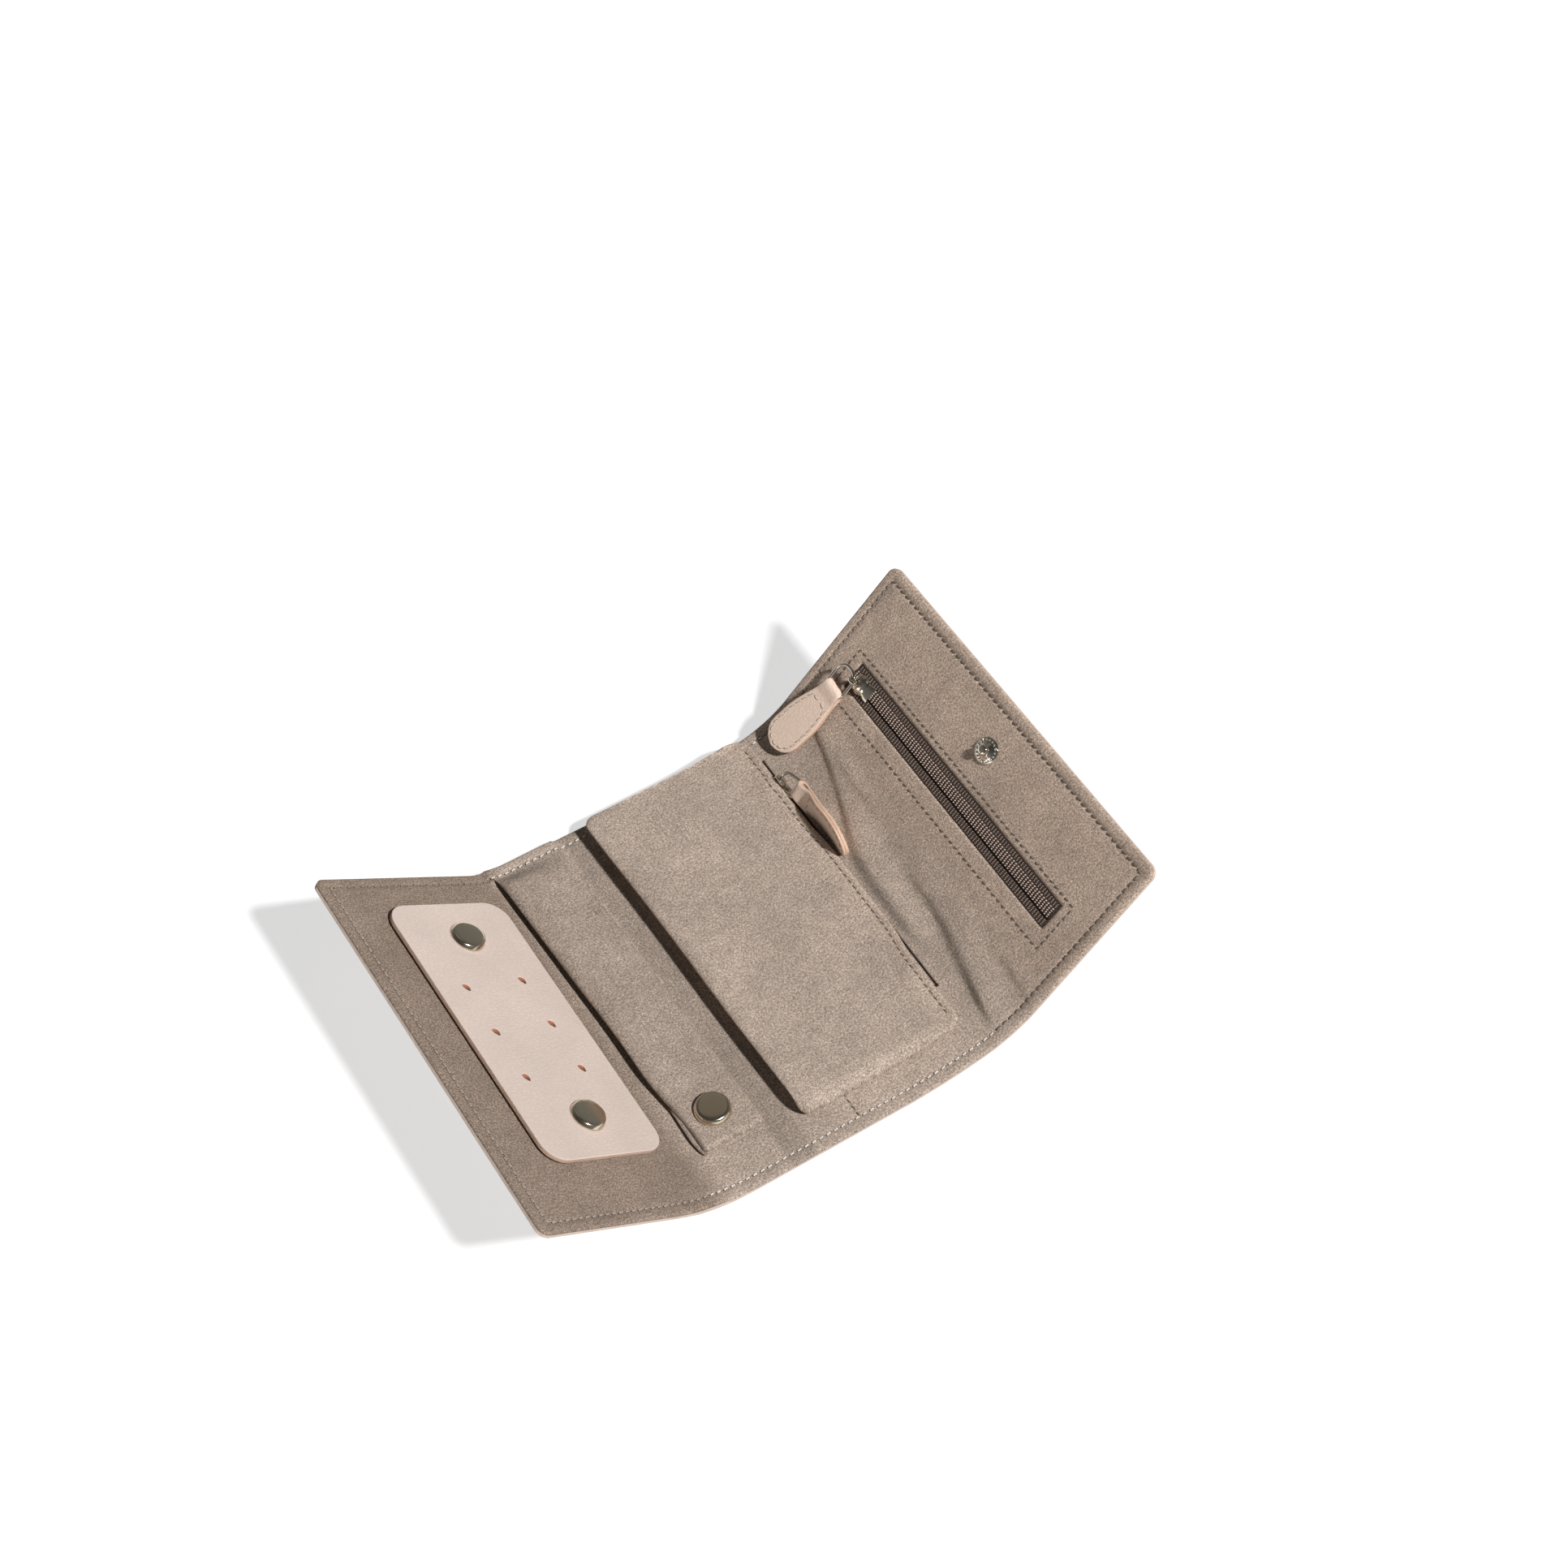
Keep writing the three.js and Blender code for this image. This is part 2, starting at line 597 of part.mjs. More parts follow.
const pouchSlider = frame(pouchZip, 0, pouchZipFar - POUCH_SLIDER_FROM_END, 0);
piece(pouchSlider, 'pouch_slider', slider(POUCH_CHAIN_WIDTH, 0), 'nickel');
const pouchPull = frame(pouchSlider, 0, 0, lugCentre);
const pouchLean = frame(pouchPull, 0, 0, 0, -POUCH_TAB_LEAN);
const pouchBailShift = POUCH_BAIL_OVERHANG - POUCH_BAIL_WIDTH;
const pouchBail = bail(POUCH_BAIL_WIDTH).translate(0, pouchBailShift, 0).rotateZ(Math.PI / 2);
piece(pouchLean, 'pouch_bail', pouchBail, 'nickel');
const pouchTab = pullTab(POUCH_BAIL_WIDTH, POUCH_TAB_TURN).translate(0, pouchBailShift, 0);
piece(pouchLean, 'pouch_tab', pouchTab.rotateZ(Math.PI / 2), 'leather');

// Left panel and its earring plate
const left = foldChain(frame(middle, foldLeftX, 0, 0), LEFT_STRIP, LEFT_TILT, -1, 'left');
const plateX = -PLATE_FROM_FOLD - PLATE_WIDTH / 2;
const plateSnapReach = PLATE_LENGTH / 2 - PLATE_SNAP_FROM_END;
const plateSnaps = { near: PLATE_Y - plateSnapReach, far: PLATE_Y + plateSnapReach };
const leftLining = panelOutline(LEFT_PANEL, -1);
for (const y of Object.values(plateSnaps)) leftLining.holes.push(roundHole(plateX, y, liningHole));
piece(left, 'lining_left', slab(leftLining, -LINING, 0), 'suede');
piece(left, 'cover_left', slab(panelOutline(LEFT_PANEL, -1), -SHEET, -LINING - CLEAR), 'leather');

function earringPlate() {
  const half = PLATE_WIDTH / 2;
  const low = PLATE_Y - PLATE_LENGTH / 2;
  const shape = roundedRectangle(plateX - half, plateX + half, low, low + PLATE_LENGTH, PLATE_CORNER);
  for (const y of Object.values(plateSnaps)) shape.holes.push(roundHole(plateX, y, SHANK_RADIUS + CLEAR));
  for (let row = 0; row < SLIT_ROWS; row += 1) {
    const y = PLATE_Y + (2 * row / (SLIT_ROWS - 1) - 1) * (plateSnapReach - SLIT_FROM_SNAP);
    for (const side of [-1, 1]) {
      const x = plateX + side * SLIT_COLUMN_SPACING / 2;
      const slit = new THREE.Path();
      shape.holes.push(slit.absellipse(x, y, SLIT_LENGTH / 2, SLIT_BREADTH / 2, 0, 2 * Math.PI, true));
    }
  }
  return slab(shape, SNAP_STANDOFF, SNAP_STANDOFF + PLATE_THICKNESS);
}

const plate = frame(left, 0, 0, 0);
piece(plate, 'earring_plate', earringPlate(), 'leather');
const plateTop = SNAP_STANDOFF + PLATE_THICKNESS;
for (const [end, y] of Object.entries(plateSnaps)) {
  piece(frame(left, plateX, y, 0), `plate_stud_${end}`, snapStud(), 'nickel');
  piece(frame(plate, plateX, y, 0), `plate_cap_${end}`, snapCap(plateTop + CLEAR, SNAP_STANDOFF), 'nickel');
  piece(frame(plate, plateX, y, 0), `plate_socket_${end}`, snapSocket(), 'nickel');
}

// Right panel with its zip pocket
const middleEndPoint = onMiddle(middleEnd, 0, 0);
const bendEnd = frame(middle, middleEndPoint.x, 0, middleEndPoint.z, -BEND_ANGLE);
const right = foldChain(bendEnd, RIGHT_STRIP, RIGHT_TILT - BEND_ANGLE, 1, 'right');
const windowNear = -WIDTH / 2 + WINDOW_NEAR_MARGIN;
const windowFar = WIDTH / 2 - WINDOW_FAR_MARGIN;
const windowHigh = WINDOW_FROM_FOLD + WINDOW_WIDTH;
const rightLining = panelOutline(RIGHT_PANEL, 1);
const windowPath = roundedRectangle(
  WINDOW_FROM_FOLD, windowHigh, windowNear, windowFar, WINDOW_CORNER, new THREE.Path(),
);
rightLining.holes.push(windowPath);
piece(right, 'lining_right', slab(rightLining, -LINING, 0), 'suede');
piece(right, 'cover_right', slab(panelOutline(RIGHT_PANEL, 1), -SHEET, -LINING - CLEAR), 'leather');

const pocketZip = frame(right, WINDOW_FROM_FOLD + WINDOW_WIDTH / 2, 0, -LINING);
const pocketTape = WINDOW_WIDTH / 2 - CLEAR;
const pocketNear = windowNear + CLEAR + WINDOW_CORNER;
const pocketFar = windowFar - CLEAR - WINDOW_CORNER;
zip(pocketZip, 'pocket', pocketTape, pocketTape, POCKET_CHAIN_WIDTH, pocketNear, pocketFar);

const pocketSlider = frame(pocketZip, 0, pocketFar - POCKET_SLIDER_FROM_END, 0);
const pocketLugAt = SLIDER_LENGTH / 2 - lugHole - LUG_WALL;
piece(pocketSlider, 'pocket_slider', slider(POCKET_CHAIN_WIDTH, pocketLugAt), 'nickel');
const pocketPull = frame(pocketSlider, BAIL_LENGTH / 4, pocketLugAt, lugCentre);
piece(pocketPull, 'pocket_bail', bail(POCKET_BAIL_WIDTH), 'nickel');
piece(pocketPull, 'pocket_tab', pullTab(POCKET_BAIL_WIDTH, -POCKET_TAB_TURN), 'leather');

// Closure
piece(frame(right, CLOSURE_FROM_FOLD, 0, 0), 'closure_stud', closureStud(), 'nickel');
const capOutside = snapCap(0, 0).rotateX(Math.PI).translate(0, 0, -SHEET - CLEAR);
piece(frame(right, CLOSURE_FROM_FOLD, 0, 0), 'closure_cap', capOutside, 'nickel');

// Where the stud meets the left panel when both panels are folded shut over the middle one
const foldStep = (Math.PI - BEND_ANGLE) / FOLD_HINGES;
const shutShift = RIGHT_STRIP * (Math.cos(BEND_ANGLE + foldStep) + Math.cos(BEND_ANGLE + 2 * foldStep));
const socketFromFold = middleEndPoint.x + shutShift - CLOSURE_FROM_FOLD - foldLeftX;
piece(frame(left, -socketFromFold, 0, 0), 'closure_socket', closureSocket(), 'nickel');

export default roll;
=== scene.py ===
import math

import bmesh
import bpy
import numpy as np
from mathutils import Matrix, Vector


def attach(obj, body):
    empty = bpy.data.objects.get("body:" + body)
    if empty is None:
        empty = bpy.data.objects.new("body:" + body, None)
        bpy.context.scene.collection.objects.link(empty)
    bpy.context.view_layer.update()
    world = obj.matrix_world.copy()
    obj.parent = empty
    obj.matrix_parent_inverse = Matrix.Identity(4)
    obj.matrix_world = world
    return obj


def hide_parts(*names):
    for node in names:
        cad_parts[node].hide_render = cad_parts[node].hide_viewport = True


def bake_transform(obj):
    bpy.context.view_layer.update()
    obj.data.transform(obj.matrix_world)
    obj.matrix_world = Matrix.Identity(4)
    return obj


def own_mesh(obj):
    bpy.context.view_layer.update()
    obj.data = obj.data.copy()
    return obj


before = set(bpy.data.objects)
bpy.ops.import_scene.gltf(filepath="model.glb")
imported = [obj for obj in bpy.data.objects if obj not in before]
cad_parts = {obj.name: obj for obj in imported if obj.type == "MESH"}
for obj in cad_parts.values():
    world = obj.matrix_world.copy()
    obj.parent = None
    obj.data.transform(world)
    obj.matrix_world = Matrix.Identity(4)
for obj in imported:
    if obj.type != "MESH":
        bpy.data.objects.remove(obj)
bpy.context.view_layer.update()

MM = 0.001

# Sheet sizes in millimetres, as in the solids; s runs along the lining from the middle of the roll
HALF = 75.0
LINING = 1.1
SHEET = 2.8
CORNER = 3.5
SEAM_INSET = 4.0
LEFT_HINGES = (-31.9, -37.44, -42.98)
RIGHT_HINGES = (68.37, 75.37, 82.37)
LEFT_END = -110.48
RIGHT_END = 148.37
LEFT_STEP = math.radians(36.5 / 3)
RIGHT_STEP = math.radians(10.0)
BEND_START = 31.9
BEND_RADIUS = 130.6
WINDOW = (106.07, 116.37, -57.8, 59.8)
SPLIT = -6.0
HEM_RISE = 1.3


def smooth(value, low, high):
    t = np.clip((np.asarray(value, float) - low) / (high - low), 0, 1)
    return t * t * (3 - 2 * t)


def fade(value, low, high):
    return 1 - smooth(value, low, high)


def bump(value, centre, width):
    return np.exp(-(((np.asarray(value, float) - centre) / width) ** 2))


def stack(*parts):
    """Points from their coordinates, each an array or a single value."""
    return np.stack(np.broadcast_arrays(*parts), -1)


def around(count):
    return np.linspace(0, 2 * math.pi, count, endpoint=False)


# Rest curve of the lining: flat middle, a gentle bend, and two soft folds
def slope(s):
    half_left = (LEFT_HINGES[0] - LEFT_HINGES[1]) / 2
    half_right = (RIGHT_HINGES[1] - RIGHT_HINGES[0]) / 2
    turn = np.clip(np.asarray(s, float) - BEND_START, 0, RIGHT_HINGES[0] - BEND_START) / BEND_RADIUS
    for hinge in LEFT_HINGES:
        turn = turn - LEFT_STEP * fade(s, hinge - half_left, hinge + half_left)
    for hinge in RIGHT_HINGES:
        turn = turn + RIGHT_STEP * smooth(s, hinge - half_right, hinge + half_right)
    return turn


CURVE_STEP = 0.05
CURVE_MARGIN = 4
curve_s = np.arange(LEFT_END - CURVE_MARGIN, RIGHT_END + CURVE_MARGIN, CURVE_STEP)
curve_turn = slope(curve_s)
curve_x = np.cumsum(np.cos(curve_turn)) * CURVE_STEP
curve_z = np.cumsum(np.sin(curve_turn)) * CURVE_STEP
curve_x -= np.interp(0, curve_s, curve_x)
curve_z -= np.interp(0, curve_s, curve_z) - SHEET


def on_sheet(s, y, h):
    turn = np.interp(s, curve_s, curve_turn)
    x = np.interp(s, curve_s, curve_x) - h * np.sin(turn)
    z = np.interp(s, curve_s, curve_z) + h * np.cos(turn)
    return stack(x, y, z)


# Local frames of the tilted panels, zips and pulls
def local_frame(origin, x_axis):
    x = np.array([x_axis[0], 0.0, x_axis[1]])
    z = np.array([-x_axis[1], 0.0, x_axis[0]])
    return np.array(origin, float), x, np.array([0.0, 1.0, 0.0]), z


def placed(local, points):
    origin, x, y, z = local
    points = np.asarray(points, float)
    return origin + points[..., 0:1] * x + points[..., 1:2] * y + points[..., 2:3] * z


RIGHT_AXIS = (0.694658, 0.71934)
POCKET_LUG = 55.05
POUCH_LUG = 49.5
LUG_CENTRE = 4.7
LEFT_FRAME = local_frame((-42.3634, 0, 6.2503), (0.803857, -0.594823))
RIGHT_FRAME = local_frame((79.8529, 0, 15.0423), RIGHT_AXIS)
MIDDLE_FRAME = local_frame((0, 0, SHEET), (1, 0))
POCKET_ZIP_FRAME = local_frame(placed(RIGHT_FRAME, (28.85, 0, -LINING)), RIGHT_AXIS)
POCKET_PULL_FRAME = local_frame(placed(POCKET_ZIP_FRAME, (2.15, POCKET_LUG, LUG_CENTRE)), RIGHT_AXIS)
POUCH_ZIP_FRAME = local_frame((64.9577, 0, 7.3632), (0.967282, 0.253705))
POUCH_PULL_FRAME = local_frame((63.7653, POUCH_LUG, 11.9094), (0.685858, 0.727735))


# Materials
def new_material(name):
    material = bpy.data.materials.new(name)
    material.use_nodes = True
    return material, material.node_tree


def feed(tree, made, inputs):
    """Each input takes a value or a link from another node's output."""
    for key, value in inputs.items():
        socket = made.inputs[key]
        if isinstance(value, bpy.types.NodeSocket):
            tree.links.new(value, socket)
        else:
            socket.default_value = (*value, 1) if socket.type == "RGBA" else value
    return made


def node(tree, kind, output, inputs, **settings):
    """Adds a node and gives one of its outputs."""
    made = tree.nodes.new("ShaderNode" + kind)
    for key, value in settings.items():
        setattr(made, key, value)
    return feed(tree, made, inputs).outputs[output]


def coordinates(tree, kind="UV"):
    return node(tree, "TexCoord", kind, {})


def noise(tree, vector, scale, detail=2.0, rough=0.5):
    inputs = {"Vector": vector, "Scale": scale, "Detail": detail, "Roughness": rough}
    return node(tree, "TexNoise", "Fac", inputs)


def spread(tree, value, low, high, to_low=0.0, to_high=1.0):
    inputs = {"Value": value, "From Min": low, "From Max": high, "To Min": to_low, "To Max": to_high}
    return node(tree, "MapRange", "Result", inputs)


def mix_colour(tree, factor, first, second):
    return node(tree, "Mix", 2, {0: factor, 6: first, 7: second}, data_type="RGBA")


def combined(tree, operation, first, *others):
    for other in others:
        first = node(tree, "Math", "Value", {0: first, 1: other}, operation=operation)
    return first


def finished(material, inputs, height, strength, distance):
    """Feeds the material's shader, with a bump made from height."""
    tree = material.node_tree
    relief = {"Height": height, "Strength": strength, "Distance": distance}
    normal = node(tree, "Bump", "Normal", relief)
    feed(tree, tree.nodes["Principled BSDF"], {**inputs, "Normal": normal})
    return material


def tint(colour, level):
    return tuple(min(1.0, level * c) for c in colour)


# The nap lies differently on each panel: its colour changes along the sheet between these places, in metres.
# The right panel's lighter colour is partly painted light, standing in for light that reaches that panel.
LEFT_SUEDE = (0.277, 0.213, 0.168)
MIDDLE_SUEDE = (0.43, 0.347, 0.285)
RIGHT_SUEDE_AND_LIGHT = (0.524, 0.407, 0.324)
LEFT_NAP = (-0.040, -0.031)
RIGHT_NAP_AND_LIGHT = (0.080, 0.100)
# Painted shade in the channel between the ring bar and the pouch, lifted again where the pouch starts:
# (start, end, shade before, shade after)
CHANNEL_SHADE = (-0.0105, -0.0085, 1.0, 0.78)
CHANNEL_SHADE_STOP = (-0.001, 0.001, 1.0, 1.0 / 0.78)
# Specks, tufts, mottle and clouds: (noise scale, detail, noise from, noise to, shade from, shade to)
NAP_GRAIN = (
    (2600, 2, 0.30, 0.72, 0.42, 1.62), (1250, 2, 0.33, 0.70, 0.66, 1.36),
    (260, 3, 0.33, 0.68, 0.90, 1.10), (40, 4, 0.34, 0.68, 0.88, 1.11),
)
NAP_ROUGHNESS = 0.6


# Suede with its nap and grain; its colour also holds painted light: a lighter right panel, and painted shade
# in the channel beside the pouch
def suede(name, level=1.0):
    material, tree = new_material(name)
    left, middle, right = (tint(colour, level) for colour in (LEFT_SUEDE, MIDDLE_SUEDE, RIGHT_SUEDE_AND_LIGHT))
    uv = coordinates(tree)
    along = node(tree, "SeparateXYZ", "X", {"Vector": uv})
    colour = mix_colour(tree, spread(tree, along, *LEFT_NAP), left, middle)
    colour = mix_colour(tree, spread(tree, along, *RIGHT_NAP_AND_LIGHT), colour, right)
    # Painted shade: the lining darkens in the channel beside the pouch and turns back at the pouch
    shades = [spread(tree, along, *band) for band in (CHANNEL_SHADE, CHANNEL_SHADE_STOP)]
    for scale, detail, *levels in NAP_GRAIN:
        shades.append(spread(tree, noise(tree, uv, scale, detail, NAP_ROUGHNESS), *levels))
    inputs = {0: colour, "Scale": combined(tree, "MULTIPLY", *shades)}
    shaded = node(tree, "VectorMath", "Vector", inputs, operation="SCALE")
    inputs = {
        "Base Color": shaded, "Roughness": 0.95, "Specular IOR Level": 0.12,
        "Sheen Weight": 0.08, "Sheen Roughness": 0.6, "Sheen Tint": middle,
    }
    return finished(material, inputs, noise(tree, uv, 1500, 4, 0.7), 0.5, 0.0003)


def leather(name, colour, roughness=0.58):
    """Fine cells, longer across the sheet, with slightly darker and duller creases between them."""
    material, tree = new_material(name)
    uv = coordinates(tree)
    stretched = node(tree, "Mapping", "Vector", {"Vector": uv, "Scale": (0.55, 1.0, 1.0)})
    warp = node(tree, "TexNoise", "Color", {"Vector": stretched, "Scale": 420.0, "Detail": 2.0})
    inputs = {0: warp, 1: (0.0012, 0.0012, 0.0), 2: stretched}
    warped = node(tree, "VectorMath", "Vector", inputs, operation="MULTIPLY_ADD")
    inputs = {"Vector": warped, "Scale": 900.0}
    cells = node(tree, "TexVoronoi", "Distance", inputs, feature="DISTANCE_TO_EDGE")
    crease_line = spread(tree, cells, 0.0, 0.16)
    cloud = spread(tree, noise(tree, uv, 45, 3, 0.5), 0.35, 0.68)
    tone = mix_colour(tree, cloud, tint(colour, 0.95), tint(colour, 1.04))
    creased = mix_colour(tree, crease_line, tint(colour, 0.80), tone)
    inputs = {
        "Base Color": mix_colour(tree, 0.35, tone, creased), "Specular IOR Level": 0.35,
        "Roughness": spread(tree, crease_line, 0.0, 1.0, roughness + 0.12, roughness),
    }
    return finished(material, inputs, crease_line, 0.30, 0.00018)


def raw_edge(name, colour):
    material, tree = new_material(name)
    where = coordinates(tree, "Object")
    fibres = spread(tree, noise(tree, where, 1600, 4, 0.7), 0.3, 0.7)
    blotch = spread(tree, noise(tree, where, 160), 0.35, 0.65)
    tone = mix_colour(tree, fibres, tint(colour, 0.70), tint(colour, 1.15))
    shade = mix_colour(tree, blotch, tint(colour, 0.85), colour)
    inputs = {"Base Color": mix_colour(tree, 0.5, shade, tone), "Roughness": 0.85}
    return finished(material, inputs, fibres, 0.5, 0.0003)


def thread(name, colour):
    material, tree = new_material(name)
    ply = spread(tree, noise(tree, coordinates(tree, "Object"), 2600), 0.3, 0.7)
    tone = mix_colour(tree, ply, tint(colour, 0.75), tint(colour, 1.1))
    return finished(material, {"Base Color": tone, "Roughness": 0.7}, ply, 0.4, 0.0002)


def metal(name, colour, roughness):
    material, tree = new_material(name)
    where = coordinates(tree, "Object")
    haze = spread(tree, noise(tree, where, 260, 3, 0.6), 0.3, 0.7, roughness * 0.8, roughness * 1.25)
    inputs = {"Base Color": colour, "Roughness": haze, "Metallic": 1.0}
    return finished(material, inputs, noise(tree, where, 90), 0.05, 0.0003)


def woven(name, colour):
    material, tree = new_material(name)
    uv = coordinates(tree)
    waves = []
    for turn in (0.9, -0.9):
        turned_uv = node(tree, "Mapping", "Vector", {"Vector": uv, "Rotation": (0.0, 0.0, turn)})
        inputs = {"Vector": turned_uv, "Scale": 420.0, "Distortion": 0.6, "Detail": 1.0}
        waves.append(node(tree, "TexWave", "Fac", inputs))
    both = combined(tree, "MULTIPLY", *waves)
    fleck = spread(tree, noise(tree, uv, 1400, 2, 0.6), 0.35, 0.65)
    rib = mix_colour(tree, both, tint(colour, 0.55), tint(colour, 1.7))
    inputs = {"Base Color": mix_colour(tree, fleck, colour, rib), "Roughness": 0.82}
    return finished(material, inputs, both, 0.6, 0.0003)


suede_nap_and_painted_light = suede("suede_nap_and_painted_light")
pouch_nap = suede("pouch_nap", 0.97)
bar_nap = suede("bar_nap", 0.88)
cover_leather = leather("cover_leather", (0.72, 0.575, 0.50))
plate_leather = leather("plate_leather", (0.685, 0.565, 0.50), 0.55)
# The pulls' leather is paler than the plate's, partly painted light standing in for the stronger light on the
# right-hand side
tab_leather = leather("tab_leather", (0.86, 0.67, 0.545), 0.55)
tan_edge = raw_edge("tan_edge", (0.80, 0.53, 0.38))
plate_edge = raw_edge("plate_edge", (0.60, 0.42, 0.32))
# The hole walls' colour: the cut's own red tan, darkened as painted shade inside the holes
shaded_hole_edge = raw_edge("shaded_hole_edge", (0.62, 0.27, 0.16))
cover_edge = raw_edge("cover_edge", (0.74, 0.59, 0.50))
# The edge and seam threads are copies of one thread in different brightness: the pale copy is painted
# highlight where edges catch the light, the dark copy painted shade where thread lies in shaded grooves
lit_thread = thread("lit_thread", (0.80, 0.74, 0.67))
beige_thread = thread("beige_thread", (0.44, 0.37, 0.31))
faint_thread = thread("faint_thread", (0.30, 0.24, 0.195))
shaded_thread = thread("shaded_thread", (0.15, 0.115, 0.09))
# Dark ends of the stitches: painted shade in the needle holes
needle_hole_shade = thread("needle_hole_shade", (0.085, 0.066, 0.052))
tab_thread = thread("tab_thread", (0.60, 0.47, 0.38))
# Dark ends of the tab stitches: painted shade in the needle holes
tab_needle_hole_shade = thread("tab_needle_hole_shade", (0.22, 0.13, 0.09))
nickel = metal("nickel", (0.67, 0.61, 0.52), 0.09)
cap_nickel = metal("cap_nickel", (0.70, 0.61, 0.47), 0.15)
# A lighter copy of the nickel for the stud's beads: painted highlight
bead_highlight_nickel = metal("bead_highlight_nickel", (0.84, 0.81, 0.75), 0.12)
zip_tape = woven("zip_tape", (0.048, 0.031, 0.024))
zip_thread = thread("zip_thread", (0.60, 0.45, 0.37))
zip_faint = thread("zip_faint", (0.34, 0.25, 0.20))
# Dark ends of the zip's thread loops: painted shade in the gaps where each loop dips into the tape
zip_gap_shade = thread("zip_gap_shade", (0.035, 0.025, 0.020))


# Mesh helpers; points come in millimetres
SHARP = math.radians(48)


def add_to_scene(name, data):
    made = bpy.data.objects.new(name, data)
    bpy.context.scene.collection.objects.link(made)
    return made


def make_object(name, points, faces, materials, uvs=None, kinds=None, sharp=SHARP):
    """kinds says which of the materials each face takes."""
    mesh = bpy.data.meshes.new(name)
    mesh.from_pydata((np.asarray(points, float) * MM).tolist(), [], [tuple(int(i) for i in f) for f in faces])
    made = add_to_scene(name, mesh)
    for material in materials:
        mesh.materials.append(material)
    if kinds is not None:
        mesh.polygons.foreach_set("material_index", np.asarray(kinds, np.int32))
    if uvs is not None:
        layer = mesh.uv_layers.new(name="UVMap")
        corner = np.empty(len(mesh.loops), np.int32)
        mesh.loops.foreach_get("vertex_index", corner)
        layer.data.foreach_set("uv", (np.asarray(uvs, float)[corner] * MM).astype(np.float32).ravel())
    mesh.polygons.foreach_set("use_smooth", np.ones(len(mesh.polygons), bool))
    mesh.set_sharp_from_angle(angle=sharp)
    mesh.update()
    return made


def rig(made, body, slot, *nodes):
    """A piece rides on a body and may stand for some of the solids, which it hides; slot is not used."""
    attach(made, body)
    if nodes:
        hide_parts(*nodes)


def slab_from_grids(top, bottom, uv, mask=None):
    """A closed solid between two grids of points, of the cells in mask; rim marks its side faces."""
    columns, rows = top.shape[:2]
    if mask is None:
        mask = np.ones((columns - 1, rows - 1), bool)
    count = columns * rows
    number = np.arange(count).reshape(columns, rows)
    there = np.pad(mask, 1)
    faces, rim = [], []
    for i, j in np.argwhere(mask):
        a, b, c, d = number[i, j], number[i + 1, j], number[i + 1, j + 1], number[i, j + 1]
        faces += [(a, b, c, d), (d + count, c + count, b + count, a + count)]
        rim += [0, 0]
        edges = (
            (there[i + 1, j], a, b), (there[i + 2, j + 1], b, c),
            (there[i + 1, j + 2], c, d), (there[i, j + 1], d, a),
        )
        for neighbour, p, q in edges:
            if not neighbour:
                faces.append((q, p, p + count, q + count))
                rim.append(1)
    used, renumbered = np.unique(np.array(faces), return_inverse=True)
    points = np.concatenate([top.reshape(-1, 3), bottom.reshape(-1, 3)])
    uvs = np.concatenate([uv.reshape(-1, 2), uv.reshape(-1, 2)])
    return points[used], renumbered.reshape(-1, 4), uvs[used], rim


def slab(name, top, bottom, uv, materials, mask=None, sharp=SHARP):
    """The first material covers both faces; a second one covers the rim."""
    points, faces, uvs, rim = slab_from_grids(top, bottom, uv, mask)
    return make_object(name, points, faces, materials, uvs, rim if len(materials) > 1 else None, sharp)


def loft(rings, tips=(), closed=False):
    """Skin through equal rings of points; it ends in fans to two tips, or runs back into its own start."""
    rings = np.asarray(rings, float)
    count, sides = rings.shape[:2]
    points, faces = rings.reshape(-1, 3), []
    for r in range(count if closed else count - 1):
        here, ahead = r * sides, (r + 1) % count * sides
        for i in range(sides):
            n = (i + 1) % sides
            faces.append((here + i, here + n, ahead + n, ahead + i))
    if len(tips):
        points = np.concatenate([points, tips])
        first, last, top = count * sides, count * sides + 1, (count - 1) * sides
        for i in range(sides):
            n = (i + 1) % sides
            faces += [(first, n, i), (last, top + i, top + n)]
    return points, faces


def lathe_mesh(profile, sides):
    """Turned about z from (radius, height) pairs running from the bottom of the axis round to its top."""
    profile = np.asarray(profile, float)
    angles = around(sides)
    radius, height = profile[1:-1].T[:, :, None]
    rings = stack(radius * np.cos(angles), radius * np.sin(angles), height)
    return loft(rings, stack(0, 0, profile[[0, -1], 1]))


def tube_mesh(path, radius, sides, closed=False, up=(0, 0, 1)):
    path = np.asarray(path, float)
    if closed:
        ahead = np.roll(path, -1, 0) - np.roll(path, 1, 0)
    else:
        ahead = np.gradient(path, axis=0)
    ahead /= np.linalg.norm(ahead, axis=1)[:, None]
    side = np.cross(np.broadcast_to(np.asarray(up, float), ahead.shape), ahead)
    side /= np.linalg.norm(side, axis=1)[:, None]
    rise = np.cross(ahead, side)
    angles = around(sides)[:, None]
    radius = np.broadcast_to(np.asarray(radius, float), (len(path),))
    rings = path[:, None] + radius[:, None, None] * (
        np.cos(angles) * side[:, None] + np.sin(angles) * rise[:, None])
    tips = () if closed else (rings[0].mean(0), rings[-1].mean(0))
    return loft(rings, tips, closed)


def joined(parts):
    points, faces, start = [], [], 0
    for some_points, some_faces in parts:
        points.append(np.asarray(some_points, float))
        faces += [tuple(i + start for i in f) for f in some_faces]
        start += len(some_points)
    return np.concatenate(points), faces


# Stitching: each stitch is a short arched thread that dips into a needle hole at both ends, where it takes a
# dark painted shade
STITCH_RINGS = np.array([0.0, 0.16, 0.35, 0.65, 0.84, 1.0])
STITCH_SWELL = np.array([0.75, 1.0, 1.0, 1.0, 1.0, 0.75])
STITCH_LIFT = np.array([-0.80, -0.10, 0.40, 0.40, -0.10, -0.80])
STITCH_SIDES = 6


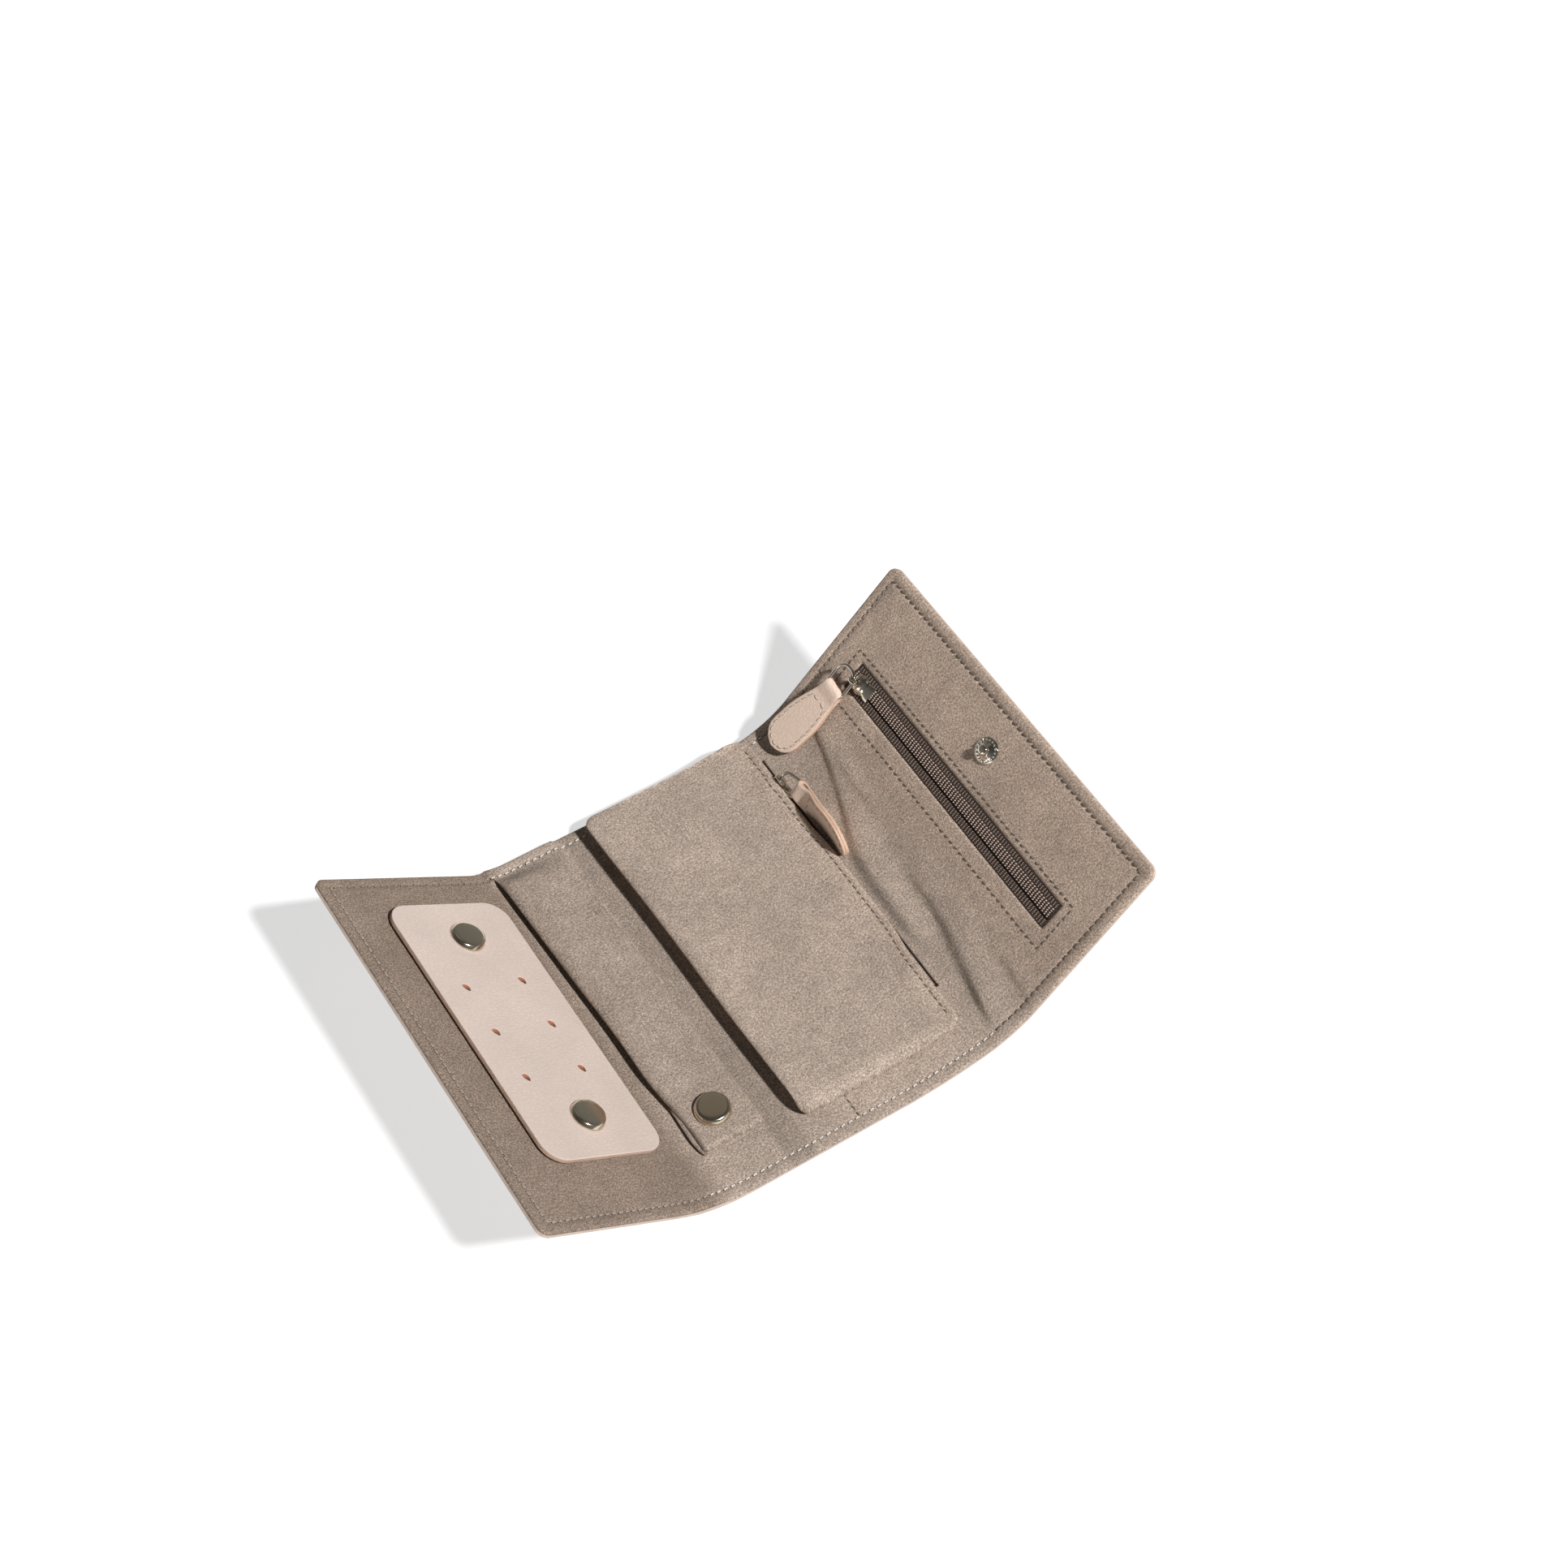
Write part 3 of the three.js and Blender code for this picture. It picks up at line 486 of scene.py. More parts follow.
def stitch_parts(place, path, pitch=2.75, length=1.95, radius=0.27, side=1.0, closed=False, slant=0.16):
    """The stitches along a path, and the middle of each one."""
    if closed:
        path = np.concatenate([path, path[:1]])
    run = np.concatenate([[0], np.cumsum(np.linalg.norm(np.diff(path, axis=0), axis=1))])
    count = int(run[-1] // pitch)
    pitch = run[-1] / max(count, 1)
    parts, middles = [], []
    for k in range(count):
        at = k * pitch + (pitch - length) / 2 + length * STITCH_RINGS
        flat = stack(*(np.interp(at, run, axis) for axis in path.T))
        along = flat[-1] - flat[0]
        flat += slant * np.outer(STITCH_RINGS - 0.5, (-along[1], along[0]))
        base = place(*flat.T, 0.0)
        normal = place(*flat.T, 1.0) - base
        normal *= side / np.linalg.norm(normal, axis=1)[:, None]
        centre = base + normal * (radius * STITCH_LIFT)[:, None]
        parts.append(tube_mesh(centre, radius * STITCH_SWELL, STITCH_SIDES, up=normal[2]))
        middles.append(flat.mean(0))
    return parts, np.array(middles)


# By default stitches take the dark copy of the thread, painted shade of thread lying in its groove
def stitch_object(name, parts, materials=(shaded_thread, needle_hole_shade)):
    points, faces = joined(parts)
    middle = STITCH_SIDES * (len(STITCH_RINGS) - 3)
    # The end rings take the second material, painted shade in the needle holes
    one = [1] * STITCH_SIDES + [0] * middle + [1] * (3 * STITCH_SIDES)
    return make_object(name, points, faces, materials, kinds=one * len(parts), sharp=math.pi)


def rounded_outline(low, high, near, far, radius, steps=8, low_radius=None):
    small = radius if low_radius is None else low_radius
    corners = ((high - radius, near + radius, radius, -90), (high - radius, far - radius, radius, 0),
               (low + small, far - small, small, 90), (low + small, near + small, small, 180))
    points = []
    for x, y, corner, start in corners:
        for angle in np.radians(np.linspace(start, start + 90, steps + 1)):
            points.append((x + corner * math.cos(angle), y + corner * math.sin(angle)))
    return np.array(points)


def inside_by(s, y, low, high, near, far, radius):
    """Distance from a point inside a rounded rectangle to its outline."""
    across = np.abs(s - (low + high) / 2) - (high - low) / 2 + radius
    along = np.abs(y - (near + far) / 2) - (far - near) / 2 + radius
    outside = np.linalg.norm(np.maximum(stack(across, along), 0), axis=-1)
    return radius - outside - np.minimum(np.maximum(across, along), 0)


def corner_cut(gap, radius):
    """How far a round corner draws in at this distance from its end."""
    gap = np.clip(gap, 0, radius)
    return radius - np.sqrt(np.maximum(radius**2 - (radius - gap) ** 2, 0))


# The sheet: lining and cover in sections that meet in the middle of each fold strip
# Each section lists its two ends, the bodies it bends between, and where that bend starts and ends
LEFT_CUTS = (-29.13, -34.67, -40.21, -45.75)
RIGHT_CUTS = (64.87, 71.87, 78.87, 85.87)
SECTIONS = {
    "left": (LEFT_END, LEFT_CUTS[2], "fold_left_2", "left_panel", *LEFT_CUTS[2:]),
    "fold_left": (LEFT_CUTS[2], LEFT_CUTS[1], "fold_left_1", "fold_left_2", *LEFT_CUTS[1:3]),
    "middle_left": (LEFT_CUTS[1], SPLIT, "middle", "fold_left_1", *LEFT_CUTS[:2]),
    "middle_right": (SPLIT, RIGHT_CUTS[1], "middle", "fold_right_1", *RIGHT_CUTS[:2]),
    "fold_right": (RIGHT_CUTS[1], RIGHT_CUTS[2], "fold_right_1", "fold_right_2", *RIGHT_CUTS[1:3]),
    "right": (RIGHT_CUTS[2], RIGHT_END, "fold_right_2", "right_panel", *RIGHT_CUTS[2:]),
}
# Grid lines lie close together along the edges and round the pocket's window
EDGE_STEPS = (0, 0.1, 0.25, 0.45, 0.7, 1.0, 1.4, 1.9, 2.5, 3.0, 3.4, 3.7, 4.0, 4.3, 4.6, 5.0, 5.6, 7.0)
WINDOW_STEPS = (0, 0.3, 0.7, 1.2)
WINDOW_CLEAR = 1.3
FOLD_STEP = 0.6
PANEL_STEP = 1.0
INNER_ROWS = np.arange(-66, 67, 2.2)
CORNER_ROW = 62


def bend_section(piece, name):
    _, _, first, second, start, end = SECTIONS[name]
    ends = [on_sheet(v, 0, 0) * MM for v in (start, end)]
    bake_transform(piece)


# Creases of the right fold, as (y, s) points along the middle of each steep side
UPPER_CREASE = ((-28, 69.0), (-9, 68.8), (10, 70.0), (21, 74.0), (32, 78.8), (49, 85.0), (60, 87.8))
LOWER_CREASE = ((-67, 71.6), (-55, 74.2), (-44, 76.0), (-32, 79.6), (-20, 81.2), (-8, 80.8))
NEAR_CREASE = ((-71, 86.4), (-58, 88.2), (-47, 87.0))
SIDE_CREASE = ((18, 85.4), (42, 86.6))
CREASE_BLUR = (-5, -2.5, 0, 2.5, 5)


def crease(s, y, line, rise, steep, easy, run_out):
    """A fold with a steep side facing left and an easy side; it dies out at both ends."""
    line_y, line_s = np.array(line, float).T
    at = sum(np.interp(y + d, line_y, line_s) for d in CREASE_BLUR) / len(CREASE_BLUR)
    ends = smooth(y, line_y[0] - run_out, line_y[0] + run_out)
    ends = ends * fade(y, line_y[-1] - run_out, line_y[-1] + run_out)
    top = at + steep / 2
    return rise * ends * (smooth(s, at - steep / 2, top) - smooth(s, top, top + easy))


def along_hem(s):
    return smooth(s, -40.0, -38.8) * fade(s, -12.8, -11.4)


def sheet_relief(s, y):
    """Soft shape of the leather, in millimetres along its normal."""
    broad = fade(y, 12, 36)
    rise = 1.6 + 0.7 * fade(y, -56, -40)
    return (
        crease(s, y, UPPER_CREASE, 0.9 + 1.1 * broad, 2.4 + 3.0 * broad, 12, 8)
        + crease(s, y, LOWER_CREASE, rise, 3.8 + 2.2 * bump(y, -42, 10), 13, 8)
        + crease(s, y, NEAR_CREASE, 0.5, 2.8, 8, 4)
        + crease(s, y, SIDE_CREASE, 0.35, 1.6, 7, 6)
        + 1.7 * bump(s, LEFT_HINGES[1], 9) * fade(y, -76, -50)
        + HEM_RISE * along_hem(s) * smooth(y, 68.8, 70.4))


def window_distance(s, y):
    low, high, near, far = WINDOW
    q = stack(np.maximum(low - s, s - high), np.maximum(near - y, y - far))
    return np.linalg.norm(np.maximum(q, 0), axis=-1) + np.minimum(q.max(-1), 0)


def dense_at_window(values, low, high):
    kept = [v for v in values if min(abs(v - low), abs(v - high)) > WINDOW_CLEAR]
    return kept + [low - v for v in WINDOW_STEPS] + [high + v for v in WINDOW_STEPS]


def section_grid(name):
    low, high = SECTIONS[name][:2]
    step = FOLD_STEP if "fold" in name else PANEL_STEP
    columns = list(np.linspace(low, high, int(round((high - low) / step)) + 1))
    if low == LEFT_END:
        columns += [LEFT_END + v for v in EDGE_STEPS]
    if high == RIGHT_END:
        columns += [RIGHT_END - v for v in EDGE_STEPS]
    rows = [HALF - v for v in EDGE_STEPS] + [v - HALF for v in EDGE_STEPS] + list(INNER_ROWS)
    if name == "right":
        columns = dense_at_window(columns, *WINDOW[:2])
        rows = dense_at_window(rows, *WINDOW[2:])
    s, y = np.meshgrid(np.unique(np.round(columns, 4)), np.unique(np.round(rows, 4)), indexing="ij")
    reach = HALF - corner_cut(s - LEFT_END, CORNER) - corner_cut(RIGHT_END - s, CORNER)
    squeeze = (reach - CORNER_ROW) / (HALF - CORNER_ROW)
    squeezed = np.sign(y) * (CORNER_ROW + (np.abs(y) - CORNER_ROW) * squeeze)
    return s, np.where(np.abs(y) > CORNER_ROW, squeezed, y)


def sheet_nodes(layer, name):
    if name.startswith("fold"):
        return f"{layer}_{name}_1", f"{layer}_{name}_2"
    return (f"{layer}_{name.split('_')[0]}",)


linings, covers = {}, {}
for name in SECTIONS:
    s, y = section_grid(name)
    edge = inside_by(s, y, LEFT_END, RIGHT_END, -HALF, HALF, CORNER)
    relief = sheet_relief(s, y)
    rolled = -0.5 * fade(edge, 0, 0.8) ** 1.8
    sewn = 0.08 * bump(edge, 2.2, 1.0) - 0.26 * bump(edge, SEAM_INSET, 0.8)
    hem_groove = 0.7 * along_hem(s) * bump(y, HALF - SEAM_INSET, 0.7)
    top = relief + rolled + sewn - hem_groove
    bottom = np.minimum(relief - LINING, top - 0.35)
    mask = None
    if name == "right":
        top = top - 0.45 * fade(window_distance(s, y), 0, 1.1) ** 2
        middle_s = (s[1:, 1:] + s[:-1, 1:]) / 2
        middle_y = (y[1:, 1:] + y[1:, :-1]) / 2
        mask = window_distance(middle_s, middle_y) > 0
    uv = stack(s, y)
    linings[name] = slab(
        f"lining_{name}_suede", on_sheet(s, y, top), on_sheet(s, y, bottom), uv, [suede_nap_and_painted_light], mask)

    inner = bottom - 0.06
    curled = 0.55 * fade(edge, 0, 1.4) ** 1.6
    outer = np.minimum(0.6 * relief - SHEET + curled + 0.2 * bump(edge, SEAM_INSET, 0.8), inner - 0.3)
    leathers = [cover_leather, cover_edge]
    covers[name] = slab(f"cover_{name}_leather", on_sheet(s, y, inner), on_sheet(s, y, outer), uv, leathers)
    for made, layer, slot in ((linings[name], "lining", "suede"), (covers[name], "cover", "cover_leather")):
        bend_section(made, name)
        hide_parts(*sheet_nodes(layer, name))

# The cut pieces of leather; the narrow fold strips go with the panel beside them, and the loop only reads
# their ends
STRIPS = {"left": None, "middle_left": "fold_left", "middle_right": "fold_right", "right": None}
for name, beside in STRIPS.items():
    low, high = SECTIONS[name][:2]


# Thread copies per section: the pale one where the near and middle edges catch the light (painted highlight),
# the dark one on the right fold and panel that face away from the key light (painted shade)
EDGE_THREADS = {
    "left": beige_thread, "fold_left": lit_thread, "middle_left": lit_thread, "middle_right": lit_thread,
    "fold_right": shaded_thread, "right": shaded_thread,
}
# Along the far edge the rows on the outer panels take a faint copy of the thread, close to the suede's
# colour, and hardly show
FAR_THREADS = {**EDGE_THREADS, "left": faint_thread, "fold_right": faint_thread, "right": faint_thread}
FAR_ROW = HALF - SEAM_INSET - 0.5


def seam_on_sheet(label, path, side=1.0, closed=True, depth=0.0):
    """A row of stitches on the sheet, cut up by section."""
    def place(s, y, h):
        return on_sheet(s, y, sheet_relief(s, y) + depth + h)
    stitches = list(zip(*stitch_parts(place, path, side=side, closed=closed)))
    for name, (low, high, *_rest) in SECTIONS.items():
        here = [(part, y > FAR_ROW) for part, (s, y) in stitches if low <= s < high]
        for suffix, threads in (("", EDGE_THREADS), ("_far", FAR_THREADS)):
            chosen = [part for part, far in here if far == bool(suffix)]
            if not chosen:
                continue
            colour = threads[name] if label.startswith("edge") else shaded_thread
            made = stitch_object(f"{label}_{name}{suffix}", chosen, (colour, needle_hole_shade))
            bend_section(made, name)


POCKET_SEAM = (100.3, 119.1, -61.6, 63.7, 0.6)
CROSS_SEAM = (18.4, -71.5, -55)
edge_path = rounded_outline(
    LEFT_END + SEAM_INSET, RIGHT_END - SEAM_INSET, -HALF + SEAM_INSET, HALF - SEAM_INSET, 1.2)
seam_on_sheet("edge_seam", edge_path, depth=-0.10)
seam_on_sheet("edge_seam_outside", edge_path, side=-1.0, depth=-SHEET + 0.16)
seam_on_sheet("pocket_seam", rounded_outline(*POCKET_SEAM), depth=-0.05)
cross_path = stack(CROSS_SEAM[0], np.linspace(*CROSS_SEAM[1:], 40))
seam_on_sheet("cross_seam", cross_path, closed=False, depth=-0.02)


# Earring plate: cut from a filled outline with rounded edges, with two columns of comma-shaped holes
PLATE_X, PLATE_Y = -25.5, 4.2
PLATE_LEFT, PLATE_RIGHT, PLATE_HALF = 24.2, 25.5, 55.2
PLATE_CORNER = 8
PLATE_THICKNESS = 1.7
PLATE_HEIGHT = 0.9
PLATE_EDGE = 0.3
HOLE_LENGTH, HOLE_WIDTH = 1.5, 1.1
HOLE_TAPER = 0.35
HOLE_COLUMN, HOLE_ROW = 12.4, 19.5
HOLE_RIM = 2.6


def cut_plate(outlines):
    curve = bpy.data.curves.new("outline", "CURVE")
    curve.dimensions = "2D"
    curve.fill_mode = "BOTH"
    for outline in outlines:
        spline = curve.splines.new("POLY")
        spline.points.add(len(outline) - 1)
        for point, (x, y) in zip(spline.points, outline):
            point.co = (x, y, 0, 1)
        spline.use_cyclic_u = True
    curve.extrude = PLATE_THICKNESS / 2 - PLATE_EDGE
    curve.bevel_depth = PLATE_EDGE
    curve.bevel_resolution = 2
    curve.offset = -PLATE_EDGE
    holder = add_to_scene("outline", curve)
    graph = bpy.context.evaluated_depsgraph_get()
    mesh = bpy.data.meshes.new_from_object(holder.evaluated_get(graph))
    points = np.array([v.co for v in mesh.vertices])
    faces = [tuple(p.vertices) for p in mesh.polygons]
    normals = np.array([p.normal for p in mesh.polygons])
    bpy.data.objects.remove(holder)
    bpy.data.curves.remove(curve)
    bpy.data.meshes.remove(mesh)
    return points, faces, normals


def leather_plate(name, outline, holes):
    """A flat piece with raw edges; the walls of its holes take a darker red tan, the cut's own colour
    darkened as painted shade inside the holes.
    """
    points, faces, normals = cut_plate([outline, *holes])
    centres = np.array([hole.mean(0) for hole in holes])
    kinds = []
    for face, normal in zip(faces, normals):
        middle = points[list(face)].mean(0)[:2]
        near_hole = np.linalg.norm(centres - middle, axis=1).min() < HOLE_RIM
        kinds.append(0 if abs(normal[2]) > 0.6 else (2 if near_hole else 1))
    raised = placed(LEFT_FRAME, points + [0, 0, PLATE_HEIGHT + PLATE_THICKNESS / 2])
    made = make_object(name, raised, faces, [plate_leather, plate_edge, shaded_hole_edge], points[:, :2], kinds)
    work = bmesh.new()
    work.from_mesh(made.data)
    bmesh.ops.remove_doubles(work, verts=work.verts, dist=1e-6)
    bmesh.ops.recalc_face_normals(work, faces=work.faces)
    work.to_mesh(made.data)
    work.free()
    made.data.set_sharp_from_angle(angle=SHARP)
    up = Vector(LEFT_FRAME[3])
    for polygon in made.data.polygons:
        polygon.use_smooth = abs(polygon.normal.dot(up)) < 0.99
    return made


plate_outline = rounded_outline(
    PLATE_X - PLATE_LEFT, PLATE_X + PLATE_RIGHT, PLATE_Y - PLATE_HALF, PLATE_Y + PLATE_HALF, PLATE_CORNER, 16)
angles = around(24)
taper = 1 - HOLE_TAPER * np.cos(angles)
holes = []
for row in (-1, 0, 1):
    for side in (-1, 1):
        column = PLATE_X + 0.2 + side * HOLE_COLUMN
        x = column + HOLE_WIDTH * taper * np.sin(angles) + HOLE_TAPER * np.cos(angles)
        y = PLATE_Y - 0.8 + 0.8 * side + row * HOLE_ROW - HOLE_LENGTH * np.cos(angles)
        holes.append(stack(x, y)[::-1])
rig(leather_plate("plate_leather", plate_outline, holes), "plate", "plate_leather", "earring_plate")

# Snap caps, turned from (radius, height) pairs
CAP_PROFILE = [
    (0, 0), (5.6, 0), (6.0, 0.06), (6.2, 0.22), (6.22, 0.42), (6.1, 0.75), (5.85, 1.25), (5.6, 1.72),
    (5.35, 2.0), (5.0, 2.14), (4.4, 2.21), (3.6, 2.25), (2.6, 2.29), (1.4, 2.31), (0, 2.32),
]
CAP_SIDES = 96
PLATE_CAP_Y = 39.25
CLOSURE_X = 48.6


def snap_cap(name, local, at, body, flip=1.0, tilt=0.0):
    """A dome whose top leans by tilt while its foot stays flat."""
    points, faces = lathe_mesh(CAP_PROFILE, CAP_SIDES)
    lean = tilt * points[:, 0] * points[:, 2] / points[:, 2].max()
    points = points * [1, 1, flip] + np.outer(lean, [0, 0, 1])
    if flip < 0:
        faces = [f[::-1] for f in faces]
    made = make_object(f"{name}_dome", placed(local, points + at), faces, [cap_nickel])
    rig(made, body, "nickel", name)


for end, side, tilt in (("near", -1, 0.09), ("far", 1, 0.12)):
    at = (PLATE_X + 1.3, PLATE_Y + side * PLATE_CAP_Y, 2.62)
    snap_cap(f"plate_cap_{end}", LEFT_FRAME, at, "plate", tilt=tilt)
snap_cap("ring_cap", MIDDLE_FRAME, (-21.4, -46, 4.45), "ring_bar")
snap_cap("closure_cap", RIGHT_FRAME, (CLOSURE_X, 0, -SHEET - 0.02), "right_panel", flip=-1.0)

# Closure stud with a ring of beads; the beads take a lighter copy of the nickel, a painted highlight for the
# bright surroundings they catch
STUD_PROFILE = [
    (0, 0), (4.5, 0), (4.68, 0.12), (4.7, 0.35), (4.55, 0.6), (4.2, 0.72), (3.2, 0.75), (2.9, 0.95),
    (2.5, 1.2), (2.15, 1.45), (1.72, 1.7), (1.6, 2.0), (1.75, 2.5), (1.85, 2.8), (1.7, 3.15), (1.3, 3.38),
    (0.6, 3.46), (0, 3.47),
]
STUD_SIDES = 64
BEAD_COUNT = 18
BEAD_SIDES = 12
BEAD_RADIUS = 0.42
BEAD_RING = 3.78
BEAD_HEIGHT = 0.78
angles = np.radians(np.arange(-90, 91, 22.5))
bead_points, bead_faces = lathe_mesh(BEAD_RADIUS * stack(np.cos(angles), np.sin(angles)), BEAD_SIDES)
stud = lathe_mesh(STUD_PROFILE, STUD_SIDES)
beads = []
for angle in around(BEAD_COUNT):
    at = [BEAD_RING * math.cos(angle), BEAD_RING * math.sin(angle), BEAD_HEIGHT]
    beads.append((bead_points + at, bead_faces))
points, faces = joined([stud, *beads])
points = placed(RIGHT_FRAME, points + [CLOSURE_X, 0, 0.05])
on_bead = np.arange(len(faces)) >= len(stud[1])
closure = make_object("closure_stud_beaded", points, faces, [nickel, bead_highlight_nickel], kinds=on_bead)
rig(closure, "right_panel", "nickel", "closure_stud")

# Pillow-like suede pieces laid on the middle panel; their texture is moved clear of the lining's nap bands
PILLOW_EDGE = (0, 0.05, 0.15, 0.32, 0.55, 0.85, 1.25, 1.8, 2.5, 3.4, 4.5)
UNDERSIDE_ROUND = 2.0


def quarter_round(t):
    return np.sqrt(1 - (1 - np.clip(t, 0, 1)) ** 2)


def edge_dense(low, high, steps, step):
    values = [low + v for v in steps] + [high - v for v in steps]
    values += list(np.arange(low + steps[-1] + step, high - steps[-1], step))
    return np.array(sorted(values))


def pillow(name, box, radius, shapes, columns, row_step, material, texture_shift):
    """A closed skin: upper and lower faces that meet in a rounded edge at the middle height."""
    low, high, near, far = box
    upper, lower, middle, roundness, shift = shapes
    half = (far - near) / 2
    s, share = np.meshgrid(columns, edge_dense(-half, half, PILLOW_EDGE, row_step) / half, indexing="ij")
    y = (far + near) / 2 + share * (half - corner_cut(np.minimum(s - low, high - s), radius))
    inside = np.maximum(inside_by(s, y, *box, radius), 0)
    rim = middle(s, y)
    top = rim + (upper(s, y) - rim) * quarter_round(inside / roundness(s, y))
    bottom = rim + (lower(s, y) - rim) * quarter_round(inside / UNDERSIDE_ROUND) - 0.02
    moved = s + shift(s, y)
    uv = stack(s + texture_shift, y)
    return slab(name, on_sheet(moved, y, top), on_sheet(moved, y, bottom), uv, [material], sharp=math.pi)


# Pouch: slack and thin, its left and far edges standing clear of the lining
POUCH = (0.6, 64.7, -62.8, 72.4)
POUCH_HEIGHT = 6.3
POUCH_LIP = 4.9
MOUTH_INSET = 2.5


def pouch_left(s):
    return fade(s, POUCH[0], POUCH[0] + 9)


def pouch_far(y):
    return smooth(y, POUCH[3] - 9, POUCH[3])


def slider_room(s, y):
    """Where the lip stands up to let the slider under it, at both ends of its travel."""
    return smooth(s, 56, 61) * (bump(y, 49.6, 6.0) + bump(y, -38.4, 6.0))


def pouch_upper(s, y):
    height = POUCH_HEIGHT + 1.9 * fade(s, 2, 26) * smooth(y, -68, -50)
    height = height - (POUCH_HEIGHT - POUCH_LIP) * smooth(s, 36, POUCH[1])
    height = height + 0.3 * np.sin(s * 0.11 + 0.6) * np.sin(y * 0.05 + 1.0)
    return height - 0.35 * bump(s, POUCH[1] - MOUTH_INSET, 0.8) + 1.1 * slider_room(s, y)


def pouch_lower(s, y):
    raised = np.maximum(pouch_left(s), 0.8 * pouch_far(y)) * smooth(y, -63, -57)
    return 0.35 + 5.4 * raised + 3.0 * smooth(s, 55, POUCH[1]) * (1 - raised) + 1.9 * slider_room(s, y)


def pouch_middle(s, y):
    rim = 2.6 + 4.4 * np.maximum(pouch_left(s), pouch_far(y)) * smooth(y, -63, -56)
    return rim + (4.0 - rim) * smooth(s, 56, POUCH[1]) + 1.7 * slider_room(s, y)


def pouch_roundness(s, y):
    return 2.5 + 3.3 * fade(y, -62, -50) * smooth(s, 3, 13) * fade(s, 56, 63) - 0.7 * smooth(s, 56, 63)


def pouch_shift(s, y):
    """The left edge slants; the lip covers the zip except at its near end and gives way to the slider."""
    left = (0.2 * np.sin(y * 0.07) - 0.023 * (y + 12)) * fade(s, 0, 30)
    cover = 1.1 - 1.3 * fade(y, -34, -18) - 1.1 * smooth(y, 14, 32) - 0.5 * bump(y, 49.5, 4.0)
    return left + cover * smooth(s, 50, 60)


def on_pouch(s, y, h):
    return on_sheet(s + pouch_shift(s, y), y, pouch_upper(s, y) + h)


pouch = pillow(
    "pouch_suede", POUCH, 4.0, (pouch_upper, pouch_lower, pouch_middle, pouch_roundness, pouch_shift),
    edge_dense(*POUCH[:2], PILLOW_EDGE, 1.6), 2.2, pouch_nap, 27.0)
rig(pouch, "middle", "suede", "pouch_front", "pouch_back")
mouth_path = stack(POUCH[1] - MOUTH_INSET, np.linspace(-58, 68, 80))
mouth_seam = stitch_object("pouch_mouth_seam", stitch_parts(on_pouch, mouth_path)[0])
rig(mouth_seam, "middle", "suede")
for piece in (pouch, mouth_seam):
    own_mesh(piece)


# Ring bar: a stuffed roll on the left that thins out to the right, and a flat strap end with the snap
BAR = (-33.0, -9.2, -57.4, 72.2)
BAR_CREST = 0.30
PLEAT = 0.8


def bar_across(s):
    return (s - BAR[0]) / (BAR[1] - BAR[0])


def bar_swell(y):
    return smooth(y, -41, -16)


def bar_upper(s, y):
    across = bar_across(s)
    slope_down = np.clip((across - BAR_CREST) / (1 - BAR_CREST), 0, 1)
    roll = 1.7 + 5.0 * (1 - slope_down) ** 1.4
    middle = smooth(y, -38, -12) * fade(y, 30, 50)
    roll = roll - PLEAT * middle * bump(across + 0.0014 * (y - 10), 0.42, 0.05)
    near = smooth(y, -50, -36) * fade(y, 0, 18)
    roll = roll - PLEAT * near * bump(across + 0.002 * (y + 16), 0.72, 0.05)
    roll = roll + 0.7 * bump(across, 0.92, 0.06)
    strap = 4.3 - 0.5 * smooth(across, 0.7, 1.0)
    height = strap + (roll - strap) * bar_swell(y)
    return height + (1.0 - height) * smooth(y, 62, 71)


def bar_lower(s, y):
    return 0.9 + 1.9 * bar_swell(y) * fade(y, 58, 68) * fade(bar_across(s), 0.05, 0.4)


def bar_middle(s, y):
    swell = bar_swell(y)
    rim = (3.1 + 0.9 * bump(y, -16, 26)) * swell + 2.6 * (1 - swell)
    rim = rim + (1.1 - rim) * smooth(bar_across(s), 0.4, 1.0) * swell
    return rim + (0.95 - rim) * smooth(y, 64, 72)


def bar_roundness(s, y):
    broad = 1.8 + (4.4 + 3.8 * smooth(y, 20, 60)) * bar_swell(y) * smooth(BAR[3] - y, 2, 14)
    return broad + (1.6 - broad) * smooth(bar_across(s), 0.40, 0.75)


def bar_shift(s, y):
    left = 1.6 - 3.4 * smooth(y, -50, -20) - 1.6 * smooth(y, -10, 40) - 1.3 * smooth(y, 30, 65)
    right = 0.3 - 2.2 * smooth(y, -57, 62)
    return left + (right - left) * bar_across(s)


bar = pillow(
    "ring_bar_suede", BAR, 1.8, (bar_upper, bar_lower, bar_middle, bar_roundness, bar_shift),
    edge_dense(*BAR[:2], PILLOW_EDGE[:-1], 0.5), 2.0, bar_nap, 38.0)
rig(bar, "ring_bar", "suede", "ring_roll")

# The lower ply of the strap end bows out past its left edge
PLY_REACH = 1.5
PLY_TUCK = 1.0
PLY_NEAR, PLY_FAR = -57.6, -38.0
PLY_BOTTOM, PLY_TOP = 1.3, 2.2
PLY_COLUMNS = (0.0, 0.05, 0.15, 0.35, 0.65, 1.0)
share, y = np.meshgrid(PLY_COLUMNS, np.linspace(PLY_NEAR, PLY_FAR, 24), indexing="ij")
bow = PLY_REACH * np.sin(math.pi * ((y - PLY_NEAR) / (PLY_FAR - PLY_NEAR)) ** 0.72)
s = BAR[0] + bar_shift(BAR[0], y) + PLY_TUCK - (PLY_TUCK + bow) * (1 - share)
top = PLY_TOP - 0.5 * fade(s - s[0], 0, 0.7) ** 2
ply = slab("ring_bar_ply", on_sheet(s, y, top), on_sheet(s, y, PLY_BOTTOM), stack(s + 48.0, y), [bar_nap])
rig(ply, "ring_bar", "suede")

# The roll and its ply take meshes of their own
for piece in (bar, ply):
    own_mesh(piece)


